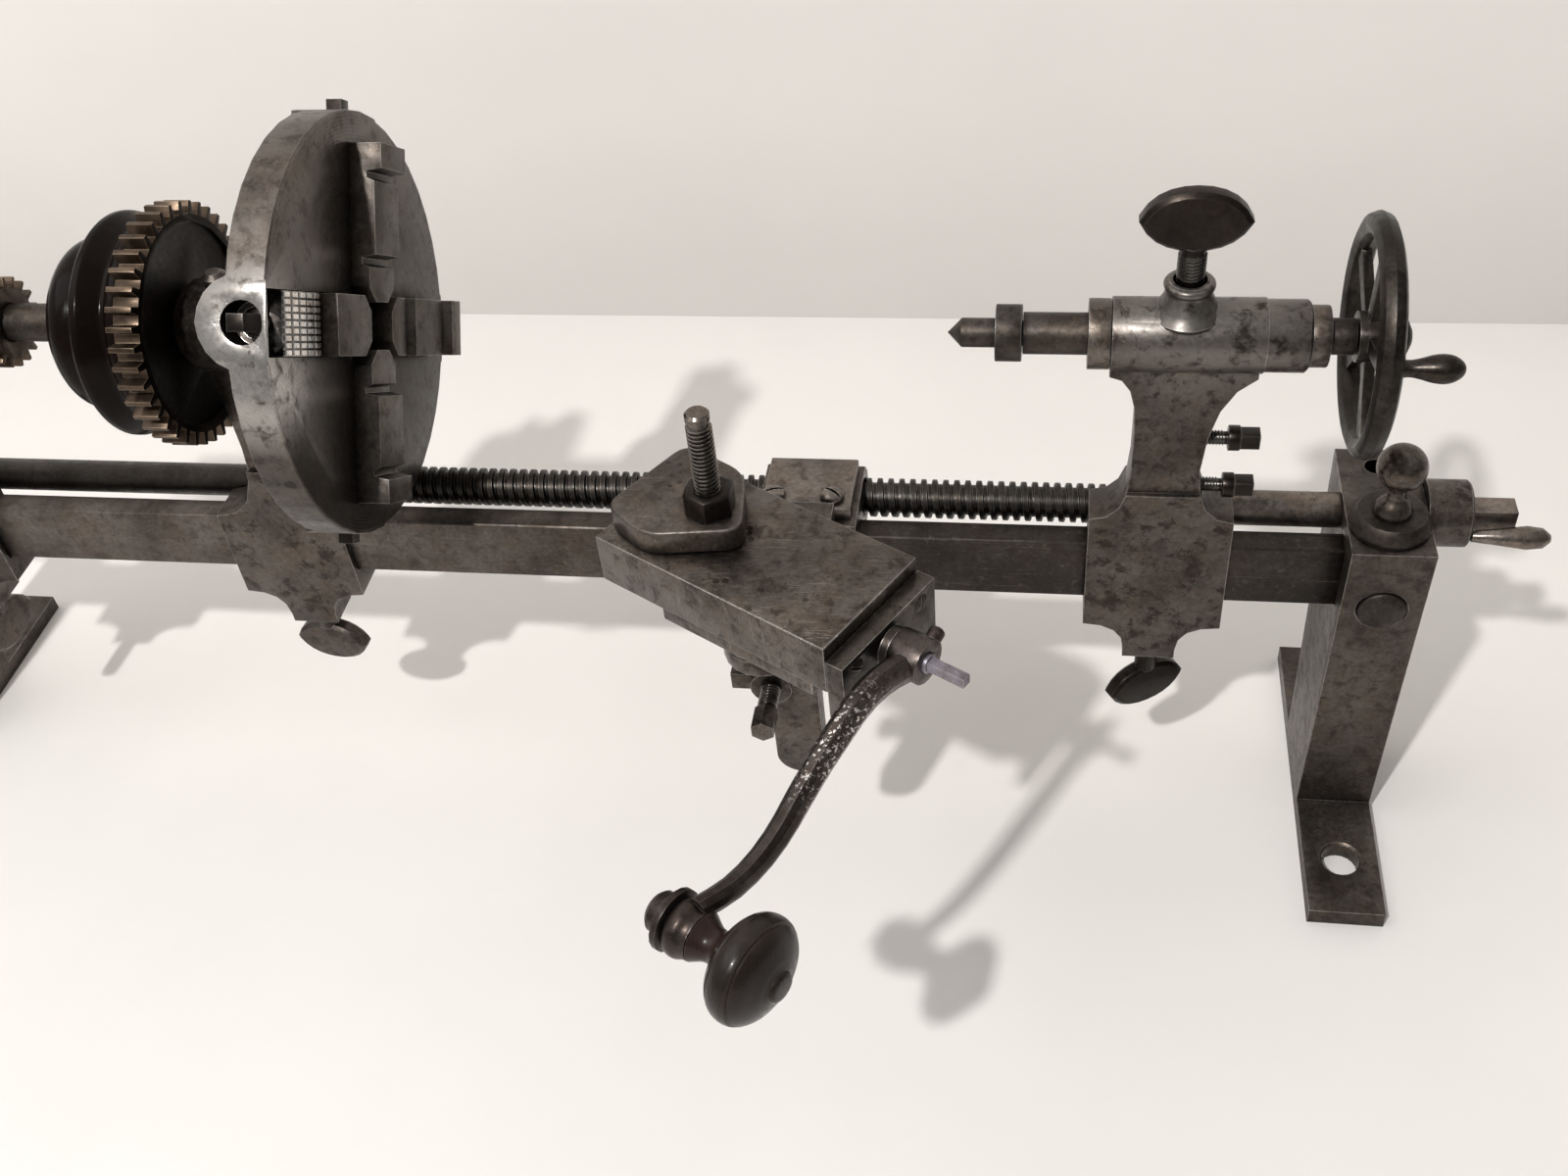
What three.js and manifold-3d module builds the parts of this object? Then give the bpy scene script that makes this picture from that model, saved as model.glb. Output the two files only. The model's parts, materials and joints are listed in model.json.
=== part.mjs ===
// Bar-bed lathe: flat bar on two footed legs, headstock with cone pulley, gears and a four-jaw chuck,
// lead screw, carriage with a swivelling slide rest and crank, and a tailstock with a handwheel.
// Millimetres, +Z up. X runs along the bed towards the tailstock and Y away from the operator.
// The origin lies on the table, under the spindle axis and midway across the left foot.
import * as THREE from 'three'
import { mergeVertices } from 'three/addons/utils/BufferGeometryUtils.js'
import Module from 'manifold-3d'

const wasm = await Module()
wasm.setup()

// Fits and facets
const seatGap = 0.3
const runGap = 0.3
const cutOverrun = 2
const edgeBreak = 0.7
const largeSides = 40
const mediumSides = 20
const smallSides = 12
const hexSides = 6
const ringSteps = 8
const cornerSteps = 4

// Bed: spindle height, bar and legs
const spindleHeight = 220
const legSpan = 606.7
const legWidth = 27.4
const barWidth = 9.9
const barHeight = 25.6
const barDrop = 84.8
const legTopDrop = 76.5
const legTopFront = 15.5
const legTopBack = 41
const legFootFront = 8.5
const legFootBack = 31
const footFront = 61.5
const footBack = 75.5
const footThickness = 7.2
const footHoleRadius = 6.9
const footHoleBreak = 1
const frontFootHole = 36.6
const backFootHole = 50.6
const mortiseWall = 5
const legPinHoleRadius = 4
const legPinHoleDepth = 12
const legPinHoleBack = 31.4
const legScrewDrop = 103
const legScrewHeadRadius = 8.5
const legScrewHeadHeight = 3.2
const legScrewRadius = 4
const legScrewLength = 7.5
const legScrewSeatDepth = 2
const legScrewDomeShares = [[0, 1], [0.25, 1], [0.7, 0.75], [0.95, 0.4], [1, 0]]

// Ball-headed lock knob and its collar
const lockCollarRadius = 13.6
const lockCollarTopRadius = 11.3
const lockCollarHeight = 6.2
const lockCollarShares = [[0, 0], [0.25, 0], [0.7, 0.5], [1, 1]]
const lockScrewRadius = 4
const lockDomeRadius = 6.5
const lockDomeHeight = 6
const lockDomeShares = [[0, 1], [0.6, 0.8]]
const lockNeckRadius = 3.4
const lockNeckHeight = 4.9
const lockBallRadius = 8.2

// Lead screw
const leadScrewBack = 16
const leadScrewDrop = 84
const leadScrewRadius = 7.1
const leadPlainRadius = 6.3
const leadThreadStart = 235
const leadThreadInset = 61.7
const leadJournalRadius = 5.75
const leadCollarRadius = 9
const leadCollarLength = 9
const leadHubRadius = 11.8
const leadHubLength = 14.8
const leadSquareSide = 8.1
const leadSquareLength = 15.2
const leadPinOffset = 9.8
const leadPinAngle = 12
const leadPinRootRadius = 2
const leadPinRadius = 4.2
const leadPinLength = 25.5
const leadPinShares = [[0.35, 0.72], [0.7, 1], [0.9, 0.85], [1, 0.35], [1, 0]]

// Poppets that stand on the bar; the tailstock is set by its distance from the right leg
const headFrontCentre = 204.8
const headRearCentre = 56
const tailInset = 76.2
const cheekHalfWidth = 24.2
const cheekFront = 8
const cheekBack = 8.3
const webFront = 6
const webBack = 6.5
const flangeHalfWidth = 22.4
const flangeDrop = 12.5
const webHalfWidth = 11.2
const webFilletDrop = 34
const webStraightDrop = 50
const headShoulderDrop = 82
const tailShoulderDrop = 71
const tailBendReach = 1.2
const tailBendDrop = 19.5
const cheekTopDrop = 60
const cheekBottomDrop = 121
const lugHalfWidth = 9.3
const lugCurveDrop = 133
const lugDrop = 137
const headWebLeft = 4
const headWebRight = 18
const headBarrelRight = 33.4
const barrelRadius = 11.9
const headBarrelRadius = 16
const rearBarrelHalfLength = 23

// Headstock oil cap on the front bearing
const oilCapOffset = 7
const oilCapRadius = 4.2
const oilCapHeight = 5
const oilCapStemRadius = 2.2
const oilCapStemLength = 4
const oilCapShares = [[0, 1], [0.7, 1], [1, 0.6], [1, 0]]

// Leaf-headed clamp screws
const clampStemRadius = 4
const clampNeckLength = 7
const leafWidth = 31
const leafHeight = 19
const leafThickness = 4
const leafBevel = 1.4
const leafTipShare = 0.82
const leafBowShare = 0.72
const leafCrownShare = 0.45
const tailClampNeckLength = 11
const headFrontLeafAngle = -8
const headRearLeafAngle = 88
const tailLeafAngle = 32

// Spindle with its pulley and gears
const spindleRadius = 9
const spindleWaistRadius = 6.7
const spindleCollarRadius = 11
const spindleCollarLength = 10
const smallGearRight = 128.4
const smallGearLength = 22
const smallGearTeeth = 18
const smallGearModule = 1.6
const bullGearLeft = 190
const bullGearRight = 199.2
const bullGearTeeth = 40
const bullGearModule = 2
const toothDepthShare = 2.25
const bullWebRadius = 35
const bullWebRecess = 1.6
const bullHubRadius = 13.4
const pulleyLeft = 156
const pulleySmallRadius = 30
const pulleyLargeRadius = 38.8
const pulleyGrooveRadius = 34.7
const pulleyFlangeRadius = 37.5
const pulleySmallShares = [[0, 0.7], [0.06, 0.85], [0.15, 0.96], [0.24, 1], [0.34, 1], [0.42, 0.985]]
const pulleyLargeShares = [[0.5, 0.915], [0.57, 1], [0.65, 1], [0.74, 0.94]]
const pulleyGrooveShares = [0.8, 0.87]
const pulleyFlangeShares = [0.93, 1]

// Chuck
const chuckFaceX = 260.4
const chuckRimThickness = 13.6
const chuckRadius = 71
const chuckHubRadius = 24
const chuckHubLength = 8.2
const chuckLean = 35
const jawCount = 4
const chuckRibRadius = 15
const chuckRibInner = 20
const chuckScrewDepth = 7.9
const chuckSlotWidth = 20.6
const chuckSlotDepth = 4.5
const chuckSlotRim = 11
const chuckFrontSlotRim = 1.5
const jawScrewRadius = 4.5
const jawScrewInner = 14
const jawScrewRim = 9
const jawSquareSide = 5.5
const jawSquareLength = 12.8
const jawKeyholeRadius = 6.8
const jawWidth = 20
const jawInner = 8
const jawRim = 11.3
const jawTipHalfWidth = 5
const jawInnerRise = 6.6
const jawMiddleRise = 8.9
const jawOuterRise = 11.6
const jawGrooveDepth = 2.6
const jawFirstStep = 11.5
const jawLastStep = 8.2
const jawGrooveWidth = 4
const jawGrooveSlopeShare = 0.25
const frontJawOuter = 34
const frontJawRise = 6.1
const knurlRise = 0.6
const knurlDepth = 0.9
const knurlGrooveWidth = 0.9
const knurlColumns = 7
const knurlRows = 5

// Carriage on the bar, set at a share of the way from the chuck's face to the tailstock
const carriagePlaceShare = 0.5465
const carriageLength = 36
const carriageFront = 12
const carriageTopDrop = 74
const carriageBottomDrop = 119
const nutBack = 26.5
const nutBottomDrop = 96
const nutTopBackDrop = 80
const nutTopBackInset = 5
const capFront = 8
const capBack = 20
const capThickness = 4.2
const capInset = 2
const capScrewSpacing = 21
const capScrewShift = 1.5
const capScrewFront = 2
const capScrewHeadRadius = 4.2
const capScrewHeadHeight = 2.6
const capScrewRadius = 2.2
const capScrewLength = 4
const screwDomeShares = [[0, 1], [0.4, 1], [0.85, 0.7], [1, 0.3], [1, 0]]
const screwSlotWidth = 1.1
const screwSlotDepth = 1
const armLeftReach = 15
const armRightReach = 11
const armEnd = 74
const armThickness = 6
const armDeepThickness = 17
const apronFront = 72
const apronThickness = 8
const apronHalfWidth = 8.3
const apronShift = 2.7
const apronDrop = 136
const bossShift = 4
const bossDrop = 90.5
const bossRadius = 7
const bossProud = 3.5
const sideBoltHead = 7
const sideBoltHeadLength = 7
const sideBoltRadius = 3
const sideBoltBack = 68
const sideBoltDrop = 92
const sideBoltReach = 3
const frontBoltAcross = 7.2
const frontBoltStand = 10
const frontBoltHeadLength = 9
const frontBoltRadius = 3
const frontBoltSink = 6

// Swivelling slide rest: the slide frame starts at the middle of the top slide's right end
const slideEndReach = 34.8
const slideEndFront = 99.1
const slideTurn = -30.1
const slidePivotInset = 45
const topSlideLength = 89
const topSlideWidth = 46
const topSlideDrop = 26
const topSlideHeight = 18
const slideBaseLeft = 67
const slideBaseRight = 8
const slideBaseWidth = 41
const slideBaseHeight = 7.7
const dovetailTopHalf = 12.5
const dovetailRootHalf = 9.5
const dovetailHeight = 7
const dovetailRoofGap = 1
const dovetailFlankGap = 0.6
const swivelRadius = 13
const pivotPinRadius = 5
const pivotPinLength = 4
const endPlateThickness = 6
const endPlateDepth = 23
const endPlateTopInset = 5
const endBushRadius = 6.5
const endBushLength = 2.7
const endScrewSpacing = 32
const endScrewDrop = 35.5
const endScrewHeadRadius = 3.4
const endScrewHeadHeight = 1.8
const endScrewRadius = 1.8
const endScrewSlotAngle = 40
const feedScrewDrop = 40
const feedScrewRadius = 3.2
const feedScrewLength = 60
const feedSquareSide = 3.4
const feedSquareLength = 13.2

// Crank and knob, in the plane square to the feed screw
const crankHubRadius = 7.2
const crankHubLength = 10.2
const crankReach = 99
const crankFall = 23.6
const crankRootRadius = 5
const crankTipRadius = 3.7
const crankFlatShare = 0.9
const crankSides = 10
const crankStations = 16
const crankSet = 5
const crankBow = 1.7
const crankEyeRadius = 7.6
const crankEyeLength = 8
const crankRingRadius = 9.4
const crankRingLength = 3.6
const crankBeadShares = [[0, 0.8], [0.3, 1], [0.8, 1]]
const crankEyeShares = [[0, 0.9], [0.4, 1], [1, 1]]
const knobPinRadius = 2.6
const knobPinHeadRadius = 6.2
const knobPinHeadLength = 4.6
const knobLength = 28
const knobRadius = 16
const knobNeckRadius = 5.2
const knobRootRadius = 7.4
const knobButtonRadius = 4.6
const knobBoreLength = 20
const knobRootShares = [[0, 1], [0.06, 0.85]]
const knobNeckShares = [[0.14, 1], [0.24, 1.04]]
const knobBallShares = [
  [0.33, 0.52],
  [0.4, 0.78],
  [0.5, 0.95],
  [0.61, 1],
  [0.72, 0.97],
  [0.84, 0.78],
  [0.93, 0.45],
]
const knobButtonShares = [[0.96, 1], [1, 0.8], [1, 0]]
const crankPathShares = [
  [0.05, 0.02],
  [0.16, -0.16],
  [0.27, -0.2],
  [0.37, -0.08],
  [0.47, 0.08],
  [0.57, 0.32],
  [0.66, 0.58],
  [0.76, 0.76],
  [0.86, 0.82],
  [0.97, 0.74],
]

// Tool clamp on the top slide
const clampPlateThickness = 8.5
const clampCornerRound = 6
const studInset = 59.6
const studOffset = 0.2
const studRadius = 4
const studSink = 8
const studTopRise = 19.2
const nutAcrossFlats = 14.4
const nutHeight = 8
const nutChamfer = 1.4
const clampPlateLength = 44
const clampPlateWidth = 41
const clampOutlineShares = [
  [-0.665, -0.41],
  [-0.625, 0.49],
  [-0.055, 0.47],
  [0.335, -0.07],
  [-0.215, -0.51],
]

// Tailstock quill, centre, screw and handwheel, measured from the middle of the tailstock's cheeks
const tailBarrelLeftReach = 20.3
const tailBarrelStepReach = 26.5
const tailBarrelRightReach = 39.6
const tailSleeveRadius = 11.4
const glandLength = 7
const glandRadius = 11.2
const tailCapLength = 5.6
const tailCapRadius = 9.7
const quillRadius = 6.7
const quillFrontReach = 47.9
const quillLength = 65.4
const quillWall = 18
const quillRingLength = 8.4
const quillRingRadius = 9.1
const centreRadius = 4.7
const centreBodyLength = 10.8
const centrePointLength = 4.5
const centreTangRadius = 4
const centreTangLength = 8
const tailScrewRadius = 4
const tailScrewLength = 52
const tailShaftRadius = 5.7
const tailShaftLength = 7.7
const wheelPlaneReach = 58.1
const wheelRingRadius = 34.3
const wheelRimRadius = 4
const wheelHubRadius = 8
const wheelHubLength = 12.6
const wheelSpokes = 5
const wheelSpokeWidth = 5
const wheelSpokeThickness = 3.4
const wheelNutRadius = 5.5
const wheelNutHeight = 3.2
const wheelNutShares = [[0, 1], [0.6, 1], [1, 0.5], [1, 0]]
const wheelHandleCircle = 26
const wheelHandleAngle = 166
const wheelHandleBossRadius = 3.6
const wheelHandleRootRadius = 2.4
const wheelHandleRadius = 4.5
const wheelHandleLength = 19
const wheelHandleRootShares = [[0, 1.2], [0.12, 1]]
const wheelHandleShares = [[0.35, 0.72], [0.65, 1], [0.9, 0.75], [1, 0.3], [1, 0]]
const lockBossRadius = 7.6
const lockBossTopRadius = 6.4
const lockBossHeight = 8.6
const quillLockShift = 2.3
const quillLockStemRadius = 4
const quillLockStemRise = 19.4
const quillLeafWidth = 33
const quillLeafHeight = 20
const sideScrewTopDrop = 40.5
const sideScrewSpacing = 20
const sideScrewRadius = 2.2
const sideScrewGrip = 5
const sideScrewStemLength = 8.3
const sideScrewCollarRadius = 4.3
const sideScrewCollarLength = 3.8
const sideScrewSquare = 5.4
const sideScrewSquareLength = 6.4

// Heights and stations worked out from the sizes above
const barTop = spindleHeight - barDrop
const barBottom = barTop - barHeight
const legTop = spindleHeight - legTopDrop
const leadHeight = spindleHeight - leadScrewDrop
const legHalf = legWidth / 2
const chuckBackX = chuckFaceX - chuckRimThickness
const chuckHubX = chuckBackX - chuckHubLength
const chuckScrewX = chuckFaceX - chuckScrewDepth
const jawOuter = chuckRadius - jawRim
const jawScrewOuter = chuckRadius - jawScrewRim
const tailCentreX = legSpan - tailInset
const tailBarrelLeft = tailCentreX - tailBarrelLeftReach
const tailBarrelStep = tailCentreX + tailBarrelStepReach
const tailBarrelRight = tailCentreX + tailBarrelRightReach
const quillFront = tailCentreX - quillFrontReach
const wheelPlaneX = tailCentreX + wheelPlaneReach
const quillLockX = tailCentreX + quillLockShift
const carriageCentreX = chuckFaceX + (tailCentreX - chuckFaceX) * carriagePlaceShare
const carriageLeft = carriageCentreX - carriageLength / 2
const apronCentreX = carriageCentreX + apronShift
const bossX = carriageCentreX - bossShift
const slideEndX = carriageCentreX + slideEndReach
const degree = Math.PI / 180

// Finishes seen on the machine
const finishes = {
  agedSteel: { color: 0x4d4843, roughness: 0.5, metalness: 0.85 },
  brightSteel: { color: 0x8c8782, roughness: 0.35, metalness: 0.9 },
  blackSteel: { color: 0x1f1c1a, roughness: 0.4, metalness: 0.7 },
  bronze: { color: 0x8a6238, roughness: 0.4, metalness: 0.85 },
  blackPulley: { color: 0x14100f, roughness: 0.25, metalness: 0.3 },
  darkKnob: { color: 0x241e1c, roughness: 0.3, metalness: 0.3 },
  squareSteel: { color: 0x8f8797, roughness: 0.45, metalness: 0.8 },
}

// A closed geometry becomes a solid once only merged positions are left
function solidFrom(geometry) {
  const bare = geometry.clone()
  bare.deleteAttribute('normal')
  bare.deleteAttribute('uv')
  const merged = mergeVertices(bare)
  const places = merged.attributes.position
  const corners = []
  for (let i = 0; i < merged.index.count; i += 3) {
    const a = merged.index.getX(i)
    const b = merged.index.getX(i + 1)
    const c = merged.index.getX(i + 2)
    if (a !== b && b !== c && c !== a) corners.push(a, b, c)
  }
  if (enclosedVolume(places, corners) < 0) corners.reverse()
  const mesh = new wasm.Mesh({
    numProp: 3,
    vertProperties: Float32Array.from(places.array),
    triVerts: Uint32Array.from(corners),
  })
  return new wasm.Manifold(mesh)
}

function enclosedVolume(places, corners) {
  const a = new THREE.Vector3()
  const b = new THREE.Vector3()
  const c = new THREE.Vector3()
  let sum = 0
  for (let i = 0; i < corners.length; i += 3) {
    a.fromBufferAttribute(places, corners[i])
    b.fromBufferAttribute(places, corners[i + 1])
    c.fromBufferAttribute(places, corners[i + 2])
    sum += a.dot(b.cross(c))
  }
  return sum / 6
}

function joined(...solids) {
  return solids.reduce((whole, solid) => whole.add(solid))
}

function without(solid, ...cutters) {
  return cutters.reduce((rest, cutter) => rest.subtract(cutter), solid)
}

// A block between two limits on each axis
function block([x0, x1], [y0, y1], [z0, z1]) {
  const geometry = new THREE.BoxGeometry(x1 - x0, y1 - y0, z1 - z0)
  return geometry.translate((x0 + x1) / 2, (y0 + y1) / 2, (z0 + z1) / 2)
}

const blockSolid = (xs, ys, zs) => solidFrom(block(xs, ys, zs))

// A turned piece on the X axis from [along, radius] points
function turned(points, sides) {
  const profile = points.map(([along, radius]) => new THREE.Vector2(radius, along))
  return new THREE.LatheGeometry(profile, sides).rotateZ(-Math.PI / 2)
}

function rod(radius, start, end, sides) {
  return turned([[start, 0], [start, radius], [end, radius], [end, 0]], sides)
}

// Profile points at shares of a length and of a radius
function profileAt(shares, start, length, radius) {
  return shares.map(([along, across]) => [start + along * length, across * radius])
}

// A turned ring with a bore, closed on itself
function ring(outer, bore, start, end, sides) {
  return turned([[start, bore], [start, outer], [end, outer], [end, bore], [start, bore]], sides)
}

const alongY = (geometry) => geometry.rotateZ(Math.PI / 2)
const alongZ = (geometry) => geometry.rotateY(-Math.PI / 2)

function shapeOf(points) {
  return new THREE.Shape(points.map(([x, y]) => new THREE.Vector2(x, y)))
}

// An outline in X and Y raised between two heights
function raised(shape, bottom, top) {
  const options = { depth: top - bottom, bevelEnabled: false, curveSegments: cornerSteps }
  return new THREE.ExtrudeGeometry(shape, options).translate(0, 0, bottom)
}

// An outline in X and Z carried through from a front to a back Y
function throughY(shape, front, back) {
  return raised(shape, -back, -front).rotateX(Math.PI / 2)
}

// An outline in Y and Z carried along X
function throughX(shape, start, end) {
  const turn = new THREE.Matrix4().set(0, 0, 1, 0, 1, 0, 0, 0, 0, 1, 0, 0, 0, 0, 0, 1)
  return raised(shape, start, end).applyMatrix4(turn)
}

// Straight outline with its corners rounded
function roundedShape(points, round) {
  const shape = new THREE.Shape()
  points.forEach(([x, y], i) => {
    const corner = new THREE.Vector2(x, y)
    const before = new THREE.Vector2(...points[(i + points.length - 1) % points.length])
    const after = new THREE.Vector2(...points[(i + 1) % points.length])
    const start = corner.clone().add(before.sub(corner).setLength(round))
    const end = corner.clone().add(after.sub(corner).setLength(round))
    if (i === 0) shape.moveTo(start.x, start.y)
    else shape.lineTo(start.x, start.y)
    shape.quadraticCurveTo(corner.x, corner.y, end.x, end.y)
  })
  shape.closePath()
  return shape
}

function geometryFrom(solid) {
  const mesh = solid.getMesh()
  const geometry = new THREE.BufferGeometry()
  geometry.setAttribute('position', new THREE.BufferAttribute(Float32Array.from(mesh.vertProperties), 3))
  geometry.setIndex(new THREE.BufferAttribute(Uint32Array.from(mesh.triVerts), 1))
  return geometry
}

function piece(name, solid, finish) {
  const geometry = geometryFrom(solid)
  geometry.computeVertexNormals()
  const mesh = new THREE.Mesh(geometry, new THREE.MeshStandardMaterial(finishes[finish]))
  mesh.name = name
  return mesh
}

// Bed bar with broken edges, running into both legs
function bedBar() {
  const half = barWidth / 2
  const outline = shapeOf([
    [-half, barBottom + edgeBreak],
    [-half + edgeBreak, barBottom],
    [half - edgeBreak, barBottom],
    [half, barBottom + edgeBreak],
    [half, barTop - edgeBreak],
    [half - edgeBreak, barTop],
    [-half + edgeBreak, barTop],
    [-half, barTop - edgeBreak],
  ])
  const reach = legHalf - mortiseWall - seatGap
  return piece('bed_bar', solidFrom(throughX(outline, -reach, legSpan + reach)), 'agedSteel')
}

// Leg with a tapered stem on a footed base; inward is the side that the bar enters
function leg(name, centreX, inward, hasLock) {
  const outline = shapeOf([
    [-footFront, 0],
    [footBack, 0],
    [footBack, footThickness],
    [legFootBack, footThickness],
    [legTopBack, legTop],
    [-legTopFront, legTop],
    [-legFootFront, footThickness],
    [-footFront, footThickness],
  ])
  const body = solidFrom(throughX(outline, -legHalf, legHalf))
  const cuts = [barMortise(inward), leadBore(), legScrewSeat(), legPinHole(inward)]
  for (const y of [-frontFootHole, backFootHole]) cuts.push(footHole(y))
  if (hasLock) cuts.push(lockBore())
  const mesh = piece(name, without(body, ...cuts), 'agedSteel')
  mesh.position.x = centreX
  return mesh
}

function barMortise(inward) {
  const half = barWidth / 2 + seatGap
  const open = inward * (legHalf + cutOverrun)
  const blind = -inward * (legHalf - mortiseWall)
  const xs = [Math.min(open, blind), Math.max(open, blind)]
  return blockSolid(xs, [-half, half], [barBottom - seatGap, barTop + seatGap])
}

function leadBore() {
  const bore = rod(leadJournalRadius + runGap, -legHalf - cutOverrun, legHalf + cutOverrun, mediumSides)
  return solidFrom(bore.translate(0, leadScrewBack, leadHeight))
}

function legScrewSeatY() {
  const height = spindleHeight - legScrewDrop
  const share = (height - footThickness) / (legTop - footThickness)
  return -(legFootFront + (legTopFront - legFootFront) * share) + legScrewSeatDepth / 2
}

function legScrewSeat() {
  const height = spindleHeight - legScrewDrop
  const seat = legScrewSeatY()
  const spot = rod(legScrewHeadRadius + seatGap, seat - legScrewSeatDepth - cutOverrun, seat, mediumSides)
  const bore = rod(legScrewRadius + seatGap, seat - cutOverrun, 0, smallSides)
  const cut = joined(solidFrom(alongY(spot)), solidFrom(alongY(bore)))
  return cut.translate([0, 0, height])
}

function legPinHole(inward) {
  const hole = rod(legPinHoleRadius, legTop - legPinHoleDepth, legTop + cutOverrun, smallSides)
  return solidFrom(alongZ(hole).translate(inward * edgeBreak, legPinHoleBack, 0))
}

function footHole(y) {
  const wide = footHoleRadius + footHoleBreak
  const hole = turned([
    [-cutOverrun, 0],
    [-cutOverrun, footHoleRadius],
    [footThickness - footHoleBreak, footHoleRadius],
    [footThickness, wide],
    [footThickness + cutOverrun, wide],
    [footThickness + cutOverrun, 0],
  ], mediumSides)
  return solidFrom(alongZ(hole).translate(0, y, 0))
}

function lockBore() {
  const bore = rod(lockScrewRadius + runGap, barTop, legTop + cutOverrun, smallSides)
  return solidFrom(alongZ(bore))
}

// Domed screw in the front of a leg
function legScrew(name, centreX) {
  const profile = [
    [-legScrewLength, 0],
    [-legScrewLength, legScrewRadius],
    [0, legScrewRadius],
    ...profileAt(legScrewDomeShares, 0, legScrewHeadHeight, legScrewHeadRadius),
  ]
  const mesh = piece(name, solidFrom(turned(profile, mediumSides)), 'agedSteel')
  mesh.rotation.z = -Math.PI / 2
  mesh.position.set(centreX, legScrewSeatY() - seatGap, spindleHeight - legScrewDrop)
  return mesh
}

function lockCollar() {
  const bore = lockScrewRadius + runGap
  const narrowing = lockCollarTopRadius - lockCollarRadius
  const flank = lockCollarShares.map(([rise, fall]) => {
    return [rise * lockCollarHeight, lockCollarRadius + fall * narrowing]
  })
  const profile = [[0, bore], ...flank, [lockCollarHeight, bore], [0, bore]]
  const mesh = piece('lock_collar', solidFrom(alongZ(turned(profile, mediumSides))), 'agedSteel')
  mesh.position.set(legSpan, 0, legTop + seatGap)
  return mesh
}

// Lock knob: clamp screw, dome, neck and ball, measured up from its seat on the collar
function lockKnob() {
  const seat = legTop + seatGap + lockCollarHeight + seatGap
  const neckTop = lockDomeHeight + lockNeckHeight
  const ballDrop = Math.sqrt(lockBallRadius ** 2 - lockNeckRadius ** 2)
  const ballCentre = neckTop + ballDrop
  const profile = [
    [barTop + seatGap - seat, 0],
    [barTop + seatGap - seat, lockScrewRadius],
    [0, lockScrewRadius],
    ...profileAt(lockDomeShares, 0, lockDomeHeight, lockDomeRadius),
    [lockDomeHeight, lockNeckRadius],
    [neckTop, lockNeckRadius],
  ]
  const bottomAngle = Math.asin(lockNeckRadius / lockBallRadius)
  for (let step = 1; step <= ringSteps; step++) {
    const angle = bottomAngle + (Math.PI - bottomAngle) * (step / ringSteps)
    const radius = step === ringSteps ? 0 : lockBallRadius * Math.sin(angle)
    profile.push([ballCentre - lockBallRadius * Math.cos(angle), radius])
  }
  const mesh = piece('lock_knob', solidFrom(alongZ(turned(profile, mediumSides))), 'blackSteel')
  mesh.position.set(legSpan, 0, seat)
  return mesh
}

// Lead screw with collar, journals in both legs and a squared right end
function leadScrew() {
  const leftFace = -legHalf - seatGap
  const rightHubEnd = legSpan + legHalf + seatGap + leadHubLength + seatGap
  const shaft = solidFrom(turned([
    [leftFace - leadCollarLength, 0],
    [leftFace - leadCollarLength, leadCollarRadius],
    [leftFace, leadCollarRadius],
    [leftFace, leadJournalRadius],
    [legHalf + seatGap, leadJournalRadius],
    [legHalf + seatGap, leadPlainRadius],
    [leadThreadStart, leadPlainRadius],
    [leadThreadStart, leadScrewRadius],
    [legSpan - leadThreadInset, leadScrewRadius],
    [legSpan - leadThreadInset, leadPlainRadius],
    [legSpan - legHalf - seatGap, leadPlainRadius],
    [legSpan - legHalf - seatGap, leadJournalRadius],
    [rightHubEnd, leadJournalRadius],
    [rightHubEnd, 0],
  ], mediumSides))
  const half = leadSquareSide / 2
  const squareX = [rightHubEnd - seatGap, rightHubEnd + leadSquareLength]
  const square = blockSolid(squareX, [-half, half], [-half, half])
  return onLeadAxis(piece('lead_screw', joined(shaft, square), 'agedSteel'))
}

function onLeadAxis(mesh) {
  mesh.position.set(0, leadScrewBack, leadHeight)
  return mesh
}

function leadHub() {
  const start = legSpan + legHalf + seatGap
  const bore = leadJournalRadius + runGap
  const hub = turned([
    [start, bore],
    [start, leadHubRadius],
    [start + leadHubLength - edgeBreak, leadHubRadius],
    [start + leadHubLength, leadHubRadius - edgeBreak],
    [start + leadHubLength, bore],
    [start, bore],
  ], mediumSides)
  return onLeadAxis(piece('lead_screw_hub', solidFrom(hub), 'agedSteel'))
}

// Tapered handle pin at the front of the hub
function leadPin() {
  const start = legSpan + legHalf + seatGap + leadHubLength + seatGap
  const pin = turned([
    [0, 0],
    [0, leadPinRootRadius],
    ...profileAt(leadPinShares, 0, leadPinLength, leadPinRadius),
  ], smallSides)
  const mesh = piece('lead_screw_pin', solidFrom(pin), 'blackSteel')
  const forward = leadPinOffset * Math.cos(leadPinAngle * degree)
  const fall = leadPinOffset * Math.sin(leadPinAngle * degree)
  mesh.position.set(start, leadScrewBack - forward, leadHeight - fall)
  return mesh
}

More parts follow.
